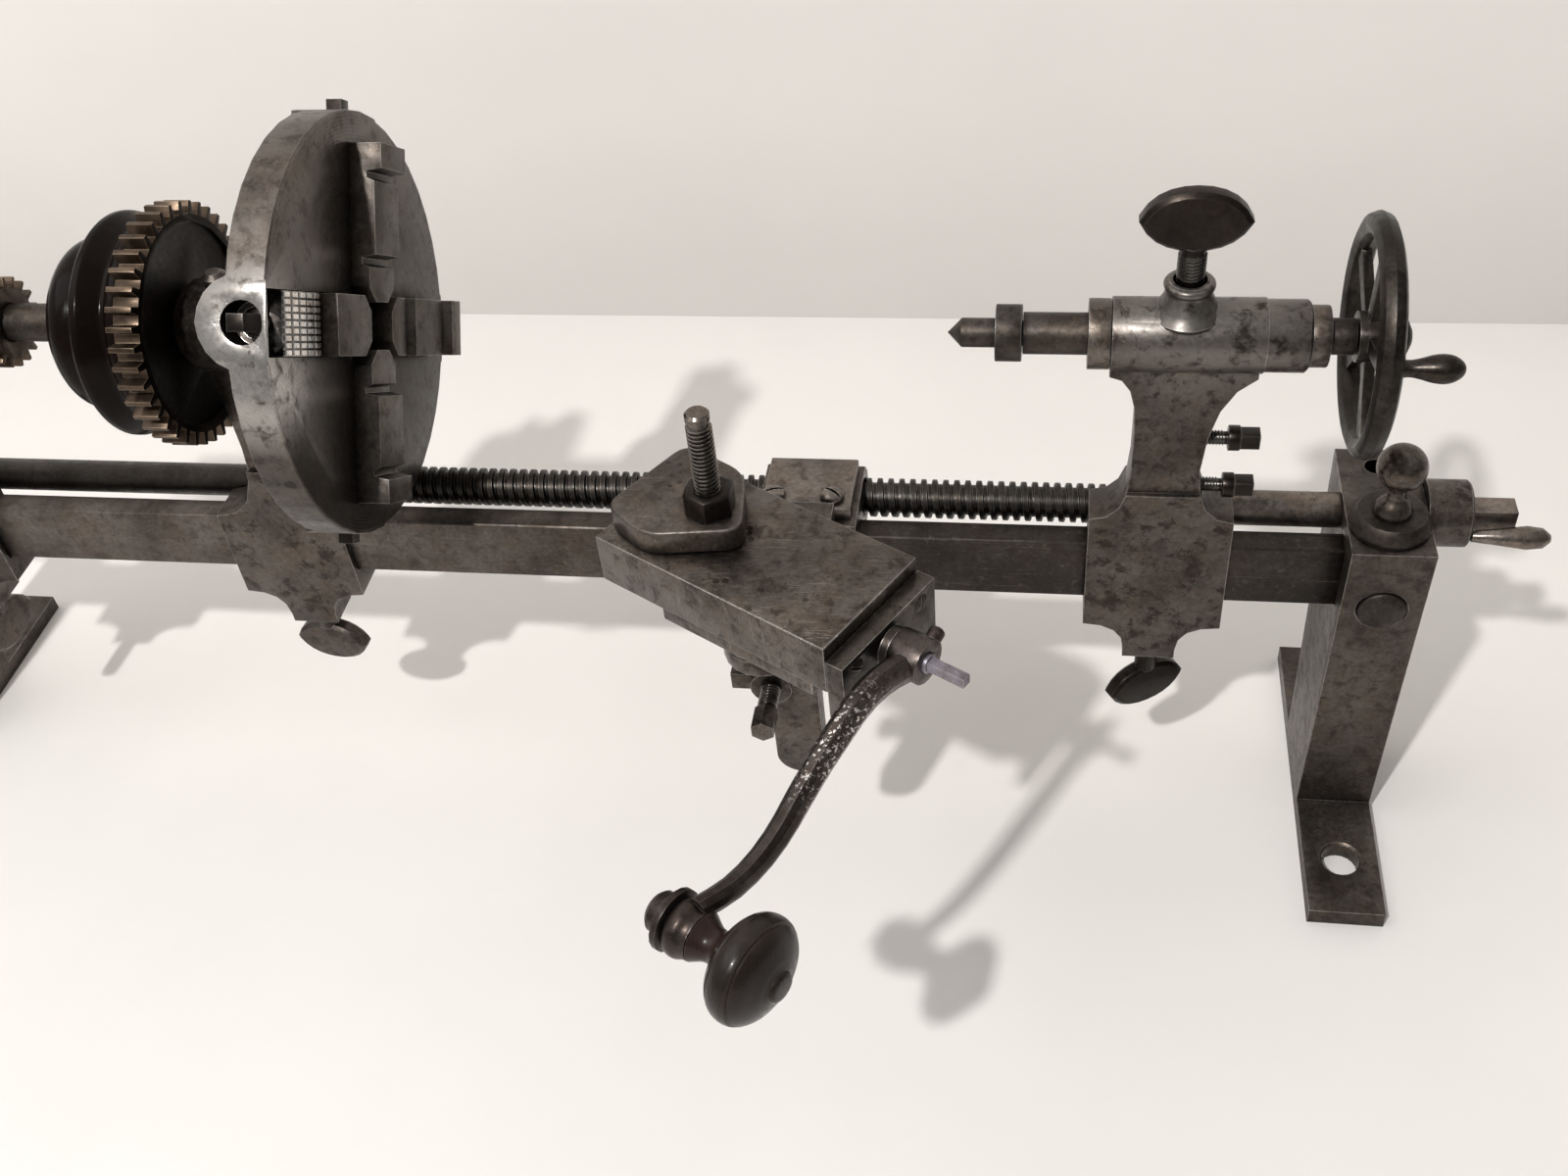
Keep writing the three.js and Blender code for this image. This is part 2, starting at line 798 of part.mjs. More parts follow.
// Front outline of a poppet below its barrel, about its own centre and the spindle axis
function poppetShape(limits) {
  const { webLeft, webRight, flangeLeft, flangeRight, shoulder } = limits
  const rightFilletDrop = limits.rightFilletDrop ?? webFilletDrop
  const rightBend = limits.rightBend ?? [webRight, -flangeDrop]
  const shape = new THREE.Shape()
  shape.moveTo(flangeLeft, 0)
  shape.lineTo(flangeLeft, -flangeDrop)
  shape.quadraticCurveTo(webLeft, -flangeDrop, webLeft, -webFilletDrop)
  shape.lineTo(webLeft, -webStraightDrop)
  shape.quadraticCurveTo(webLeft, -shoulder, -cheekHalfWidth, -shoulder)
  shape.lineTo(-cheekHalfWidth, -cheekBottomDrop)
  shape.quadraticCurveTo(-lugHalfWidth, -cheekBottomDrop, -lugHalfWidth, -lugCurveDrop)
  shape.lineTo(-lugHalfWidth, -lugDrop)
  shape.lineTo(lugHalfWidth, -lugDrop)
  shape.lineTo(lugHalfWidth, -lugCurveDrop)
  shape.quadraticCurveTo(lugHalfWidth, -cheekBottomDrop, cheekHalfWidth, -cheekBottomDrop)
  shape.lineTo(cheekHalfWidth, -shoulder)
  shape.quadraticCurveTo(webRight, -shoulder, webRight, -webStraightDrop)
  shape.lineTo(webRight, -rightFilletDrop)
  shape.quadraticCurveTo(...rightBend, flangeRight, -flangeDrop)
  shape.lineTo(flangeRight, 0)
  shape.closePath()
  return shape
}

// Web and the two thicker cheeks that straddle the bar, with the bar slot and clamp bore cut
function poppetBody(limits) {
  const shape = poppetShape(limits)
  const web = solidFrom(throughY(shape, -webFront, webBack))
  const cheeks = solidFrom(throughY(shape, -cheekFront, cheekBack))
  const upper = blockSolid(
    [-cheekHalfWidth - cutOverrun, cheekHalfWidth + cutOverrun],
    [-cheekFront - cutOverrun, cheekBack + cutOverrun],
    [-cheekTopDrop, cutOverrun],
  )
  const half = barWidth / 2 + runGap
  const slot = blockSolid(
    [-cheekHalfWidth - cutOverrun, cheekHalfWidth + cutOverrun],
    [-half, half],
    [-barDrop - barHeight - runGap, -barDrop + runGap],
  )
  const clamp = rod(clampStemRadius + runGap, -lugDrop - cutOverrun, -barDrop - barHeight, smallSides)
  return without(joined(web, without(cheeks, upper)), slot, solidFrom(alongZ(clamp)))
}

function headFrontPoppet() {
  const body = poppetBody({
    webLeft: -headWebLeft,
    webRight: headWebRight,
    flangeLeft: -headWebLeft,
    flangeRight: flangeHalfWidth,
    shoulder: headShoulderDrop,
  })
  const barrel = solidFrom(rod(headBarrelRadius, -headWebLeft, headBarrelRight, mediumSides))
  const oilHole = rod(oilCapStemRadius + seatGap, spindleRadius, headBarrelRadius + cutOverrun, smallSides)
  const boreEnds = [-headWebLeft - cutOverrun, headBarrelRight + cutOverrun]
  const bore = rod(spindleRadius + runGap, ...boreEnds, mediumSides)
  const cuts = [solidFrom(bore), solidFrom(alongZ(oilHole).translate(oilCapOffset, 0, 0))]
  const mesh = piece('head_front_poppet', without(joined(body, barrel), ...cuts), 'agedSteel')
  mesh.position.set(headFrontCentre, 0, spindleHeight)
  return mesh
}

function oilCap() {
  const seat = headBarrelRadius + seatGap
  const cap = turned([
    [seat - oilCapStemLength, 0],
    [seat - oilCapStemLength, oilCapStemRadius],
    [seat, oilCapStemRadius],
    ...profileAt(oilCapShares, seat, oilCapHeight, oilCapRadius),
  ], smallSides)
  const mesh = piece('head_oil_cap', solidFrom(alongZ(cap)), 'agedSteel')
  mesh.position.set(headFrontCentre + oilCapOffset, 0, spindleHeight)
  return mesh
}

function headRearPoppet() {
  const body = poppetBody({
    webLeft: -webHalfWidth,
    webRight: webHalfWidth,
    flangeLeft: -flangeHalfWidth,
    flangeRight: flangeHalfWidth,
    shoulder: headShoulderDrop,
  })
  const end = rearBarrelHalfLength
  const barrel = solidFrom(rod(barrelRadius, -end, end, mediumSides))
  const bore = solidFrom(rod(spindleRadius + runGap, -end - cutOverrun, end + cutOverrun, mediumSides))
  const mesh = piece('head_rear_poppet', without(joined(body, barrel), bore), 'agedSteel')
  mesh.position.set(headRearCentre, 0, spindleHeight)
  return mesh
}

// Leaf head: pointed lens-shaped plate with bevelled faces, centred on its own middle in X and Z
function leafHead(width, height) {
  const shape = new THREE.Shape()
  const halfWidth = width / 2 - leafBevel
  const halfHeight = height / 2 - leafBevel
  const nearX = halfWidth * leafTipShare
  const nearZ = halfHeight * leafBowShare
  const farX = halfWidth * leafCrownShare
  shape.moveTo(-halfWidth, 0)
  shape.bezierCurveTo(-nearX, -nearZ, -farX, -halfHeight, 0, -halfHeight)
  shape.bezierCurveTo(farX, -halfHeight, nearX, -nearZ, halfWidth, 0)
  shape.bezierCurveTo(nearX, nearZ, farX, halfHeight, 0, halfHeight)
  shape.bezierCurveTo(-farX, halfHeight, -nearX, nearZ, -halfWidth, 0)
  const plate = new THREE.ExtrudeGeometry(shape, {
    depth: leafThickness,
    bevelThickness: leafBevel,
    bevelSize: leafBevel,
    bevelSegments: 1,
    curveSegments: cornerSteps + 1,
  })
  return solidFrom(plate.translate(0, 0, -leafThickness / 2).rotateX(Math.PI / 2))
}

// Clamp screw under a poppet: the stem rises to the bar and the leaf hangs below the lug
function clampScrew(name, centreX, neck, angle) {
  const stemTop = barBottom - seatGap
  const leafTop = spindleHeight - lugDrop - neck
  const stem = solidFrom(alongZ(rod(clampStemRadius, leafTop - leafBevel, stemTop, smallSides)))
  const leaf = leafHead(leafWidth, leafHeight).translate([0, 0, leafTop - leafHeight / 2])
  const mesh = piece(name, joined(stem, leaf), 'blackSteel')
  mesh.rotation.z = angle * degree
  mesh.position.x = centreX
  return mesh
}

// Spindle from the rear collar to the nose inside the chuck
function spindle() {
  const rearEnd = headRearCentre - rearBarrelHalfLength - seatGap
  const rearBearingEnd = headRearCentre + rearBarrelHalfLength + seatGap
  const frontBearing = headFrontCentre - headWebLeft - seatGap
  const nose = chuckScrewX - seatGap
  const shaft = turned([
    [rearEnd - spindleCollarLength, 0],
    [rearEnd - spindleCollarLength, spindleCollarRadius],
    [rearEnd, spindleCollarRadius],
    [rearEnd, spindleRadius],
    [rearBearingEnd, spindleRadius],
    [rearBearingEnd, spindleWaistRadius],
    [frontBearing, spindleWaistRadius],
    [frontBearing, spindleRadius],
    [nose, spindleRadius],
    [nose, 0],
  ], mediumSides)
  return onSpindle(piece('spindle', solidFrom(shaft), 'agedSteel'))
}

function onSpindle(mesh) {
  mesh.position.z = spindleHeight
  return mesh
}

// Toothed blank between two X stations
function gearBlank(teeth, module, left, right) {
  const tip = (teeth + 2) * module / 2
  const root = tip - toothDepthShare * module
  const pitchAngle = 2 * Math.PI / teeth
  const toothShares = [[0.26, root], [0.37, tip], [0.63, tip], [0.74, root]]
  const points = []
  for (let tooth = 0; tooth < teeth; tooth++) {
    for (const [share, radius] of toothShares) {
      const angle = (tooth + share) * pitchAngle
      points.push([radius * Math.cos(angle), radius * Math.sin(angle)])
    }
  }
  return solidFrom(throughX(shapeOf(points), left, right))
}

function spindleBore(left, right) {
  return solidFrom(rod(spindleWaistRadius + seatGap, left - cutOverrun, right + cutOverrun, mediumSides))
}

function smallGear() {
  const left = smallGearRight - smallGearLength
  const blank = gearBlank(smallGearTeeth, smallGearModule, left, smallGearRight)
  return onSpindle(piece('small_gear', without(blank, spindleBore(left, smallGearRight)), 'bronze'))
}

function bullGear() {
  const blank = gearBlank(bullGearTeeth, bullGearModule, bullGearLeft, bullGearRight)
  const recessEnds = [bullGearRight - bullWebRecess, bullGearRight + cutOverrun]
  const recess = ring(bullWebRadius, bullHubRadius, ...recessEnds, mediumSides)
  const cuts = [solidFrom(recess), spindleBore(bullGearLeft, bullGearRight)]
  return onSpindle(piece('bull_gear', without(blank, ...cuts), 'bronze'))
}

// Cone pulley of two rounded steps and a narrow groove, growing towards the bull gear
function conePulley() {
  const right = bullGearLeft - seatGap
  const length = right - pulleyLeft
  const bore = spindleWaistRadius + seatGap
  const profile = [
    [pulleyLeft, bore],
    ...profileAt(pulleySmallShares, pulleyLeft, length, pulleySmallRadius),
    ...profileAt(pulleyLargeShares, pulleyLeft, length, pulleyLargeRadius),
    ...pulleyGrooveShares.map((share) => [pulleyLeft + length * share, pulleyGrooveRadius]),
    ...pulleyFlangeShares.map((share) => [pulleyLeft + length * share, pulleyFlangeRadius]),
    [right, bore],
    [pulleyLeft, bore],
  ]
  return onSpindle(piece('cone_pulley', solidFrom(turned(profile, largeSides)), 'blackPulley'))
}

// Chuck body: disc, rear hub and four ribs, cut by four slots and their screw bores
function chuckBody() {
  const disc = solidFrom(turned([
    [chuckBackX, 0],
    [chuckBackX, chuckRadius - edgeBreak],
    [chuckBackX + edgeBreak, chuckRadius],
    [chuckFaceX - edgeBreak, chuckRadius],
    [chuckFaceX, chuckRadius - edgeBreak],
    [chuckFaceX, 0],
  ], largeSides))
  const hub = solidFrom(rod(chuckHubRadius, chuckHubX, chuckBackX + edgeBreak, mediumSides))
  const limit = solidFrom(rod(chuckRadius, chuckHubX - cutOverrun, chuckFaceX, largeSides))
  const boreEnds = [chuckHubX - cutOverrun, chuckFaceX + cutOverrun]
  const bore = solidFrom(rod(spindleRadius + seatGap, ...boreEnds, mediumSides))
  let body = joined(disc, hub)
  for (let turn = 0; turn < jawCount; turn++) {
    const angle = turn * Math.PI / 2
    const rib = alongZ(rod(chuckRibRadius, chuckRibInner, chuckRadius + cutOverrun, mediumSides))
    const placed = solidFrom(rib.translate(chuckScrewX, 0, 0).rotateX(angle))
    body = body.add(placed.intersect(limit))
  }
  for (let turn = 0; turn < jawCount; turn++) {
    const angle = turn * Math.PI / 2
    const rim = turn === 1 ? chuckFrontSlotRim : chuckSlotRim
    body = without(body, ...chuckCuts(angle, chuckRadius - rim))
  }
  const mesh = piece('chuck_body', without(body, bore), 'agedSteel')
  return inChuck(mesh)
}

function chuckCuts(angle, reach) {
  const half = chuckSlotWidth / 2
  const slot = block([chuckFaceX - chuckSlotDepth, chuckFaceX + cutOverrun], [-half, half], [0, reach])
  const outside = chuckRadius + cutOverrun
  const screw = alongZ(rod(jawScrewRadius + runGap, spindleRadius, outside, smallSides))
  const keyhole = alongZ(rod(jawKeyholeRadius, jawScrewOuter - seatGap, outside, mediumSides))
  return [
    solidFrom(slot.rotateX(angle)),
    solidFrom(screw.translate(chuckScrewX, 0, 0).rotateX(angle)),
    solidFrom(keyhole.translate(chuckScrewX, 0, 0).rotateX(angle)),
  ]
}

function inChuck(mesh, quarterTurns = 0) {
  mesh.rotation.x = quarterTurns * Math.PI / 2 - chuckLean * degree
  mesh.position.z = spindleHeight
  return mesh
}

// Jaw lying along local +Z: steps and undercut grooves in side view, pointed tip in plan
function jawSolid(sideView, outer) {
  const half = jawWidth / 2
  const slab = solidFrom(throughY(shapeOf(sideView), -half, half))
  const shoulder = jawInner + half - jawTipHalfWidth
  const plan = shapeOf([
    [-jawTipHalfWidth, jawInner],
    [jawTipHalfWidth, jawInner],
    [half, shoulder],
    [half, outer],
    [-half, outer],
    [-half, shoulder],
  ])
  const bottom = chuckFaceX - chuckSlotDepth
  const limits = solidFrom(throughX(plan, bottom, chuckFaceX + jawOuterRise + cutOverrun))
  return without(slab.intersect(limits), jawScrewGroove())
}

function jawScrewGroove() {
  const groove = alongZ(rod(jawScrewRadius + runGap, 0, chuckRadius, smallSides))
  return solidFrom(groove.translate(chuckScrewX, 0, 0))
}

function steppedJaw(name, quarterTurns) {
  const floor = chuckFaceX - chuckSlotDepth + seatGap
  const inner = chuckFaceX + jawInnerRise
  const middle = chuckFaceX + jawMiddleRise
  const outer = chuckFaceX + jawOuterRise
  const slope = jawGrooveWidth * jawGrooveSlopeShare
  const firstGroove = jawInner + jawFirstStep
  const lastGroove = jawOuter - jawLastStep - jawGrooveWidth
  const sideView = [
    [floor, jawInner],
    [inner, jawInner],
    [inner, firstGroove],
    [inner - jawGrooveDepth, firstGroove + slope],
    [inner - jawGrooveDepth, firstGroove + jawGrooveWidth - slope],
    [middle, firstGroove + jawGrooveWidth],
    [middle, lastGroove],
    [middle - jawGrooveDepth, lastGroove + slope],
    [middle - jawGrooveDepth, lastGroove + jawGrooveWidth - slope],
    [outer, lastGroove + jawGrooveWidth],
    [outer, jawOuter],
    [floor, jawOuter],
  ]
  return inChuck(piece(name, jawSolid(sideView, jawOuter), 'agedSteel'), quarterTurns)
}

function frontJaw() {
  const floor = chuckFaceX - chuckSlotDepth + seatGap
  const top = chuckFaceX + frontJawRise
  const sideView = [[floor, jawInner], [top, jawInner], [top, frontJawOuter], [floor, frontJawOuter]]
  return inChuck(piece('jaw_front', jawSolid(sideView, frontJawOuter), 'agedSteel'), 1)
}

// Knurled block behind the front jaw, with crossed grooves
function knurlBlock() {
  const half = jawWidth / 2
  const floor = chuckFaceX - chuckSlotDepth + seatGap
  const top = chuckFaceX + knurlRise
  const start = frontJawOuter + seatGap
  const body = blockSolid([floor, top], [-half, half], [start, jawOuter])
  const grooveX = [top - knurlDepth, top + cutOverrun]
  const grooves = []
  for (let column = 1; column < knurlColumns; column++) {
    const y = -half + jawWidth * column / knurlColumns
    const ys = [y - knurlGrooveWidth / 2, y + knurlGrooveWidth / 2]
    grooves.push(blockSolid(grooveX, ys, [start - cutOverrun, jawOuter + cutOverrun]))
  }
  for (let row = 1; row < knurlRows; row++) {
    const z = start + (jawOuter - start) * row / knurlRows
    const zs = [z - knurlGrooveWidth / 2, z + knurlGrooveWidth / 2]
    grooves.push(blockSolid(grooveX, [-half - cutOverrun, half + cutOverrun], zs))
  }
  return inChuck(piece('jaw_knurl', without(body, jawScrewGroove(), ...grooves), 'brightSteel'), 1)
}

function jawScrew(name, quarterTurns) {
  const half = jawSquareSide / 2
  const stem = solidFrom(alongZ(rod(jawScrewRadius, jawScrewInner, jawScrewOuter, smallSides)))
  const squareZ = [jawScrewOuter - seatGap, jawScrewOuter + jawSquareLength]
  const square = blockSolid([-half, half], [-half, half], squareZ)
  const screw = joined(stem, square).translate([chuckScrewX, 0, 0])
  return inChuck(piece(name, screw, 'agedSteel'), quarterTurns)
}

// Carriage: saddle round the bar, nut housing on the lead screw, forward arm and hanging apron
function carriage() {
  const right = carriageLeft + carriageLength
  const top = spindleHeight - carriageTopDrop
  const bottom = spindleHeight - carriageBottomDrop
  const housing = shapeOf([
    [-carriageFront, bottom],
    [cheekBack, bottom],
    [cheekBack, spindleHeight - nutBottomDrop],
    [nutBack, spindleHeight - nutBottomDrop],
    [nutBack, spindleHeight - nutTopBackDrop],
    [nutBack - nutTopBackInset, top],
    [-carriageFront, top],
  ])
  const saddle = solidFrom(throughX(housing, carriageLeft, right))
  const body = joined(saddle, ...armSolids(), ...apronSolids())
  return piece('carriage', without(body, ...carriageCuts(right)), 'agedSteel')
}

const swivelHeight = endPlateDepth / 2
const slideBaseDrop = topSlideDrop + topSlideHeight + seatGap + slideBaseHeight
const armTop = spindleHeight - slideBaseDrop - swivelHeight - seatGap

function pivotPlace() {
  const turn = slideTurn * degree
  const x = slideEndX - slidePivotInset * Math.cos(turn)
  const y = -slideEndFront - slidePivotInset * Math.sin(turn)
  return [x, y]
}

function armSolids() {
  const [x, y] = pivotPlace()
  const left = carriageCentreX - armLeftReach
  const right = carriageCentreX + armRightReach
  const back = -carriageFront + edgeBreak
  const plate = blockSolid([left, right], [-armEnd, back], [armTop - armThickness, armTop])
  const beam = blockSolid(
    [left + armThickness / 2, right - armThickness / 2],
    [-apronFront + apronThickness, back],
    [armTop - armDeepThickness, armTop - armThickness / 2],
  )
  const pad = rod(swivelRadius, armTop - armThickness, armTop, mediumSides)
  return [plate, beam, solidFrom(alongZ(pad).translate(x, y, 0))]
}

// Apron tongue with a rounded lower end, and the boss that takes the two bolts
function apronSolids() {
  const bottomCentre = spindleHeight - apronDrop + apronHalfWidth
  const shape = new THREE.Shape()
  shape.moveTo(apronHalfWidth, armTop - armThickness / 2)
  shape.lineTo(-apronHalfWidth, armTop - armThickness / 2)
  shape.lineTo(-apronHalfWidth, bottomCentre)
  shape.absarc(0, bottomCentre, apronHalfWidth, Math.PI, 2 * Math.PI, false)
  shape.closePath()
  const options = { depth: apronThickness, bevelEnabled: false, curveSegments: smallSides }
  const tongue = new THREE.ExtrudeGeometry(shape, options).rotateX(Math.PI / 2)
  const placed = solidFrom(tongue.translate(apronCentreX, -apronFront + apronThickness, 0))
  const boss = alongY(rod(bossRadius, -apronFront - bossProud, -apronFront + apronThickness, mediumSides))
  return [placed, solidFrom(boss.translate(bossX, 0, spindleHeight - bossDrop))]
}

function carriageCuts(right) {
  const half = barWidth / 2 + runGap
  const [x, y] = pivotPlace()
  const over = [carriageLeft - cutOverrun, right + cutOverrun]
  const slot = blockSolid(over, [-half, half], [barBottom - runGap, barTop + runGap])
  const lead = rod(leadScrewRadius + runGap, ...over, mediumSides).translate(0, leadScrewBack, leadHeight)
  const pin = rod(pivotPinRadius + runGap, armTop - pivotPinLength - seatGap, armTop + cutOverrun, smallSides)
  const frontEnds = [-apronFront - bossProud - cutOverrun, frontBoltEnd()]
  const front = alongY(rod(frontBoltRadius + seatGap, ...frontEnds, smallSides))
  const sideEnds = [sideBoltFace() - cutOverrun, sideBoltFace() + sideBoltReach]
  const side = rod(sideBoltRadius + seatGap, ...sideEnds, smallSides)
  const cuts = [
    slot,
    solidFrom(lead),
    solidFrom(alongZ(pin).translate(x, y, 0)),
    solidFrom(front.translate(bossX, 0, spindleHeight - bossDrop)),
    solidFrom(side.translate(0, -sideBoltBack, spindleHeight - sideBoltDrop)),
  ]
  for (const side of [-1, 1]) cuts.push(capScrewHole(side))
  return cuts
}

function frontBoltEnd() {
  return -apronFront - bossProud + frontBoltSink + seatGap
}

function sideBoltFace() {
  return bossX - bossRadius
}

function capScrewPlace(side) {
  const x = carriageLeft + carriageLength / 2 - capScrewShift + side * capScrewSpacing / 2
  return [x, -capScrewFront]
}

function capScrewHole(side) {
  const top = spindleHeight - carriageTopDrop + cutOverrun
  const depth = capScrewLength + seatGap
  const hole = rod(capScrewRadius + seatGap, top - cutOverrun - depth, top, smallSides)
  return solidFrom(alongZ(hole).translate(...capScrewPlace(side), 0))
}

// Plate over the lead screw nut, held by two slotted screws
function nutCap() {
  const bottom = spindleHeight - carriageTopDrop + seatGap
  const ends = [carriageLeft + capInset, carriageLeft + carriageLength - capInset]
  const plate = blockSolid(ends, [-capFront, capBack], [bottom, bottom + capThickness])
  const over = [bottom - cutOverrun, bottom + capThickness + cutOverrun]
  const holes = [-1, 1].map((side) => {
    const hole = rod(capScrewRadius + seatGap, ...over, smallSides)
    return solidFrom(alongZ(hole).translate(...capScrewPlace(side), 0))
  })
  return piece('nut_cap', without(plate, ...holes), 'agedSteel')
}

// Slotted screw with a domed head, its seat at zero and its shank on the minus X side
function slottedScrew(headRadius, headHeight, radius, length) {
  const body = solidFrom(turned([
    [-length, 0],
    [-length, radius],
    [0, radius],
    ...profileAt(screwDomeShares, 0, headHeight, headRadius),
  ], smallSides))
  const half = screwSlotWidth / 2
  const wide = headRadius + cutOverrun
  const depths = [headHeight - screwSlotDepth, headHeight + cutOverrun]
  const slot = blockSolid(depths, [-wide, wide], [-half, half])
  return without(body, slot)
}

function capScrew(name, side) {
  const length = capScrewLength + capThickness
  const screw = slottedScrew(capScrewHeadRadius, capScrewHeadHeight, capScrewRadius, length)
  const mesh = piece(name, screw, 'agedSteel')
  const seat = spindleHeight - carriageTopDrop + seatGap + capThickness + seatGap
  mesh.rotation.y = -Math.PI / 2
  mesh.position.set(...capScrewPlace(side), seat)
  return mesh
}

// Square-headed bolt from the left into the boss
function sideBolt() {
  const half = sideBoltHead / 2
  const face = sideBoltFace() - seatGap
  const head = blockSolid([face - sideBoltHeadLength, face], [-half, half], [-half, half])
  const stem = solidFrom(rod(sideBoltRadius, face - edgeBreak, face + sideBoltReach, smallSides))
  const mesh = piece('carriage_side_bolt', joined(head, stem), 'blackSteel')
  mesh.position.set(0, -sideBoltBack, spindleHeight - sideBoltDrop)
  return mesh
}

// Hexagon-headed bolt that stands out from the boss on its stem
function frontBolt() {
  const face = -apronFront - bossProud - seatGap
  const corner = frontBoltAcross / Math.sqrt(3)
  const headBack = face - frontBoltStand
  const head = alongY(rod(corner, headBack - frontBoltHeadLength, headBack, hexSides))
  const stem = alongY(rod(frontBoltRadius, headBack - edgeBreak, frontBoltEnd() - seatGap, smallSides))
  const mesh = piece('carriage_front_bolt', joined(solidFrom(head), solidFrom(stem)), 'blackSteel')
  mesh.position.set(bossX, 0, spindleHeight - bossDrop)
  return mesh
}

// Everything on the slide rest shares one turned frame
function slideFrame() {
  const frame = new THREE.Group()
  frame.position.set(slideEndX, -slideEndFront, spindleHeight)
  frame.rotation.z = slideTurn * degree
  return frame
}

function dovetailShape(rootHalf, topHalf, bottom, top) {
  return shapeOf([[-rootHalf, bottom], [rootHalf, bottom], [topHalf, top], [-topHalf, top]])
}

const slideFloor = -topSlideDrop - topSlideHeight

// Lower slide: dovetail on a plate, with the swivel boss and pivot pin below
function slideBase() {
  const plateTop = slideFloor - seatGap
  const plateBottom = plateTop - slideBaseHeight
  const half = slideBaseWidth / 2
  const plate = blockSolid([-slideBaseLeft, -slideBaseRight], [-half, half], [plateBottom, plateTop])
  const root = dovetailShape(dovetailRootHalf, dovetailTopHalf, plateTop, plateTop + dovetailHeight)
  const rail = solidFrom(throughX(root, -slideBaseLeft, -slideBaseRight))
  const bossBottom = plateBottom - swivelHeight
  const boss = rod(swivelRadius, bossBottom, plateBottom + edgeBreak, mediumSides)
  const pin = rod(pivotPinRadius, bossBottom - pivotPinLength, bossBottom + edgeBreak, smallSides)
  const pivot = [boss, pin].map((geometry) => {
    return solidFrom(alongZ(geometry).translate(-slidePivotInset, 0, 0))
  })
  const boreEnds = [-slideBaseLeft - cutOverrun, -slideBaseRight + cutOverrun]
  const bore = rod(feedScrewRadius + runGap, ...boreEnds, smallSides)
  const nut = solidFrom(bore.translate(0, 0, -feedScrewDrop))
  return piece('slide_base', without(joined(plate, rail, ...pivot), nut), 'agedSteel')
}

function topSlide() {
  const half = topSlideWidth / 2
  const body = blockSolid([-topSlideLength, 0], [-half, half], [slideFloor, -topSlideDrop])
  const roof = slideFloor + dovetailHeight + dovetailRoofGap
  const channel = shapeOf([
    [-dovetailRootHalf - runGap, slideFloor - cutOverrun],
    [dovetailRootHalf + runGap, slideFloor - cutOverrun],
    [dovetailRootHalf + runGap, slideFloor],
    [dovetailTopHalf + dovetailFlankGap, roof],
    [-dovetailTopHalf - dovetailFlankGap, roof],
    [-dovetailRootHalf - runGap, slideFloor],
  ])
  const way = solidFrom(throughX(channel, -topSlideLength - cutOverrun, cutOverrun))
  const hole = rod(studRadius + seatGap, -topSlideDrop - studSink, -topSlideDrop + cutOverrun, smallSides)
  const stud = solidFrom(alongZ(hole).translate(-studInset, -studOffset, 0))
  return piece('top_slide', without(body, way, stud), 'agedSteel')
}

// End plate with the feed screw's bush
function endPlate() {
  const half = topSlideWidth / 2
  const top = -topSlideDrop - endPlateTopInset
  const face = seatGap + endPlateThickness
  const plate = blockSolid([seatGap, face], [-half, half], [top - endPlateDepth, top])
  const bushEnd = face + endBushLength
  const bush = rod(endBushRadius, face - edgeBreak, bushEnd, mediumSides)
  const bore = rod(feedScrewRadius + runGap, -cutOverrun, bushEnd + cutOverrun, smallSides)
  const whole = joined(plate, solidFrom(bush.translate(0, 0, -feedScrewDrop)))
  const cuts = [solidFrom(bore.translate(0, 0, -feedScrewDrop))]
  for (const side of [-1, 1]) {
    const hole = rod(endScrewRadius + seatGap, -cutOverrun, face + cutOverrun, smallSides)
    cuts.push(solidFrom(hole.translate(0, side * endScrewSpacing / 2, -endScrewDrop)))
  }
  return piece('end_plate', without(whole, ...cuts), 'agedSteel')
}

function endScrew(name, side) {
  const screw = slottedScrew(endScrewHeadRadius, endScrewHeadHeight, endScrewRadius, endPlateThickness)
  const mesh = piece(name, screw, 'agedSteel')
  mesh.rotation.x = side * endScrewSlotAngle * degree
  mesh.position.set(seatGap + endPlateThickness + seatGap, side * endScrewSpacing / 2, -endScrewDrop)
  return mesh
}

const crankHubStart = seatGap + endPlateThickness + endBushLength + seatGap

// Feed screw with its squared outer end
function feedScrew() {
  const outer = crankHubStart + crankHubLength + seatGap
  const half = feedSquareSide / 2
  const stem = solidFrom(rod(feedScrewRadius, -feedScrewLength, outer + edgeBreak, smallSides))
  const square = blockSolid([outer, outer + feedSquareLength], [-half, half], [-half, half])
  const mesh = piece('feed_screw', joined(stem, square), 'squareSteel')
  mesh.position.z = -feedScrewDrop
  return mesh
}

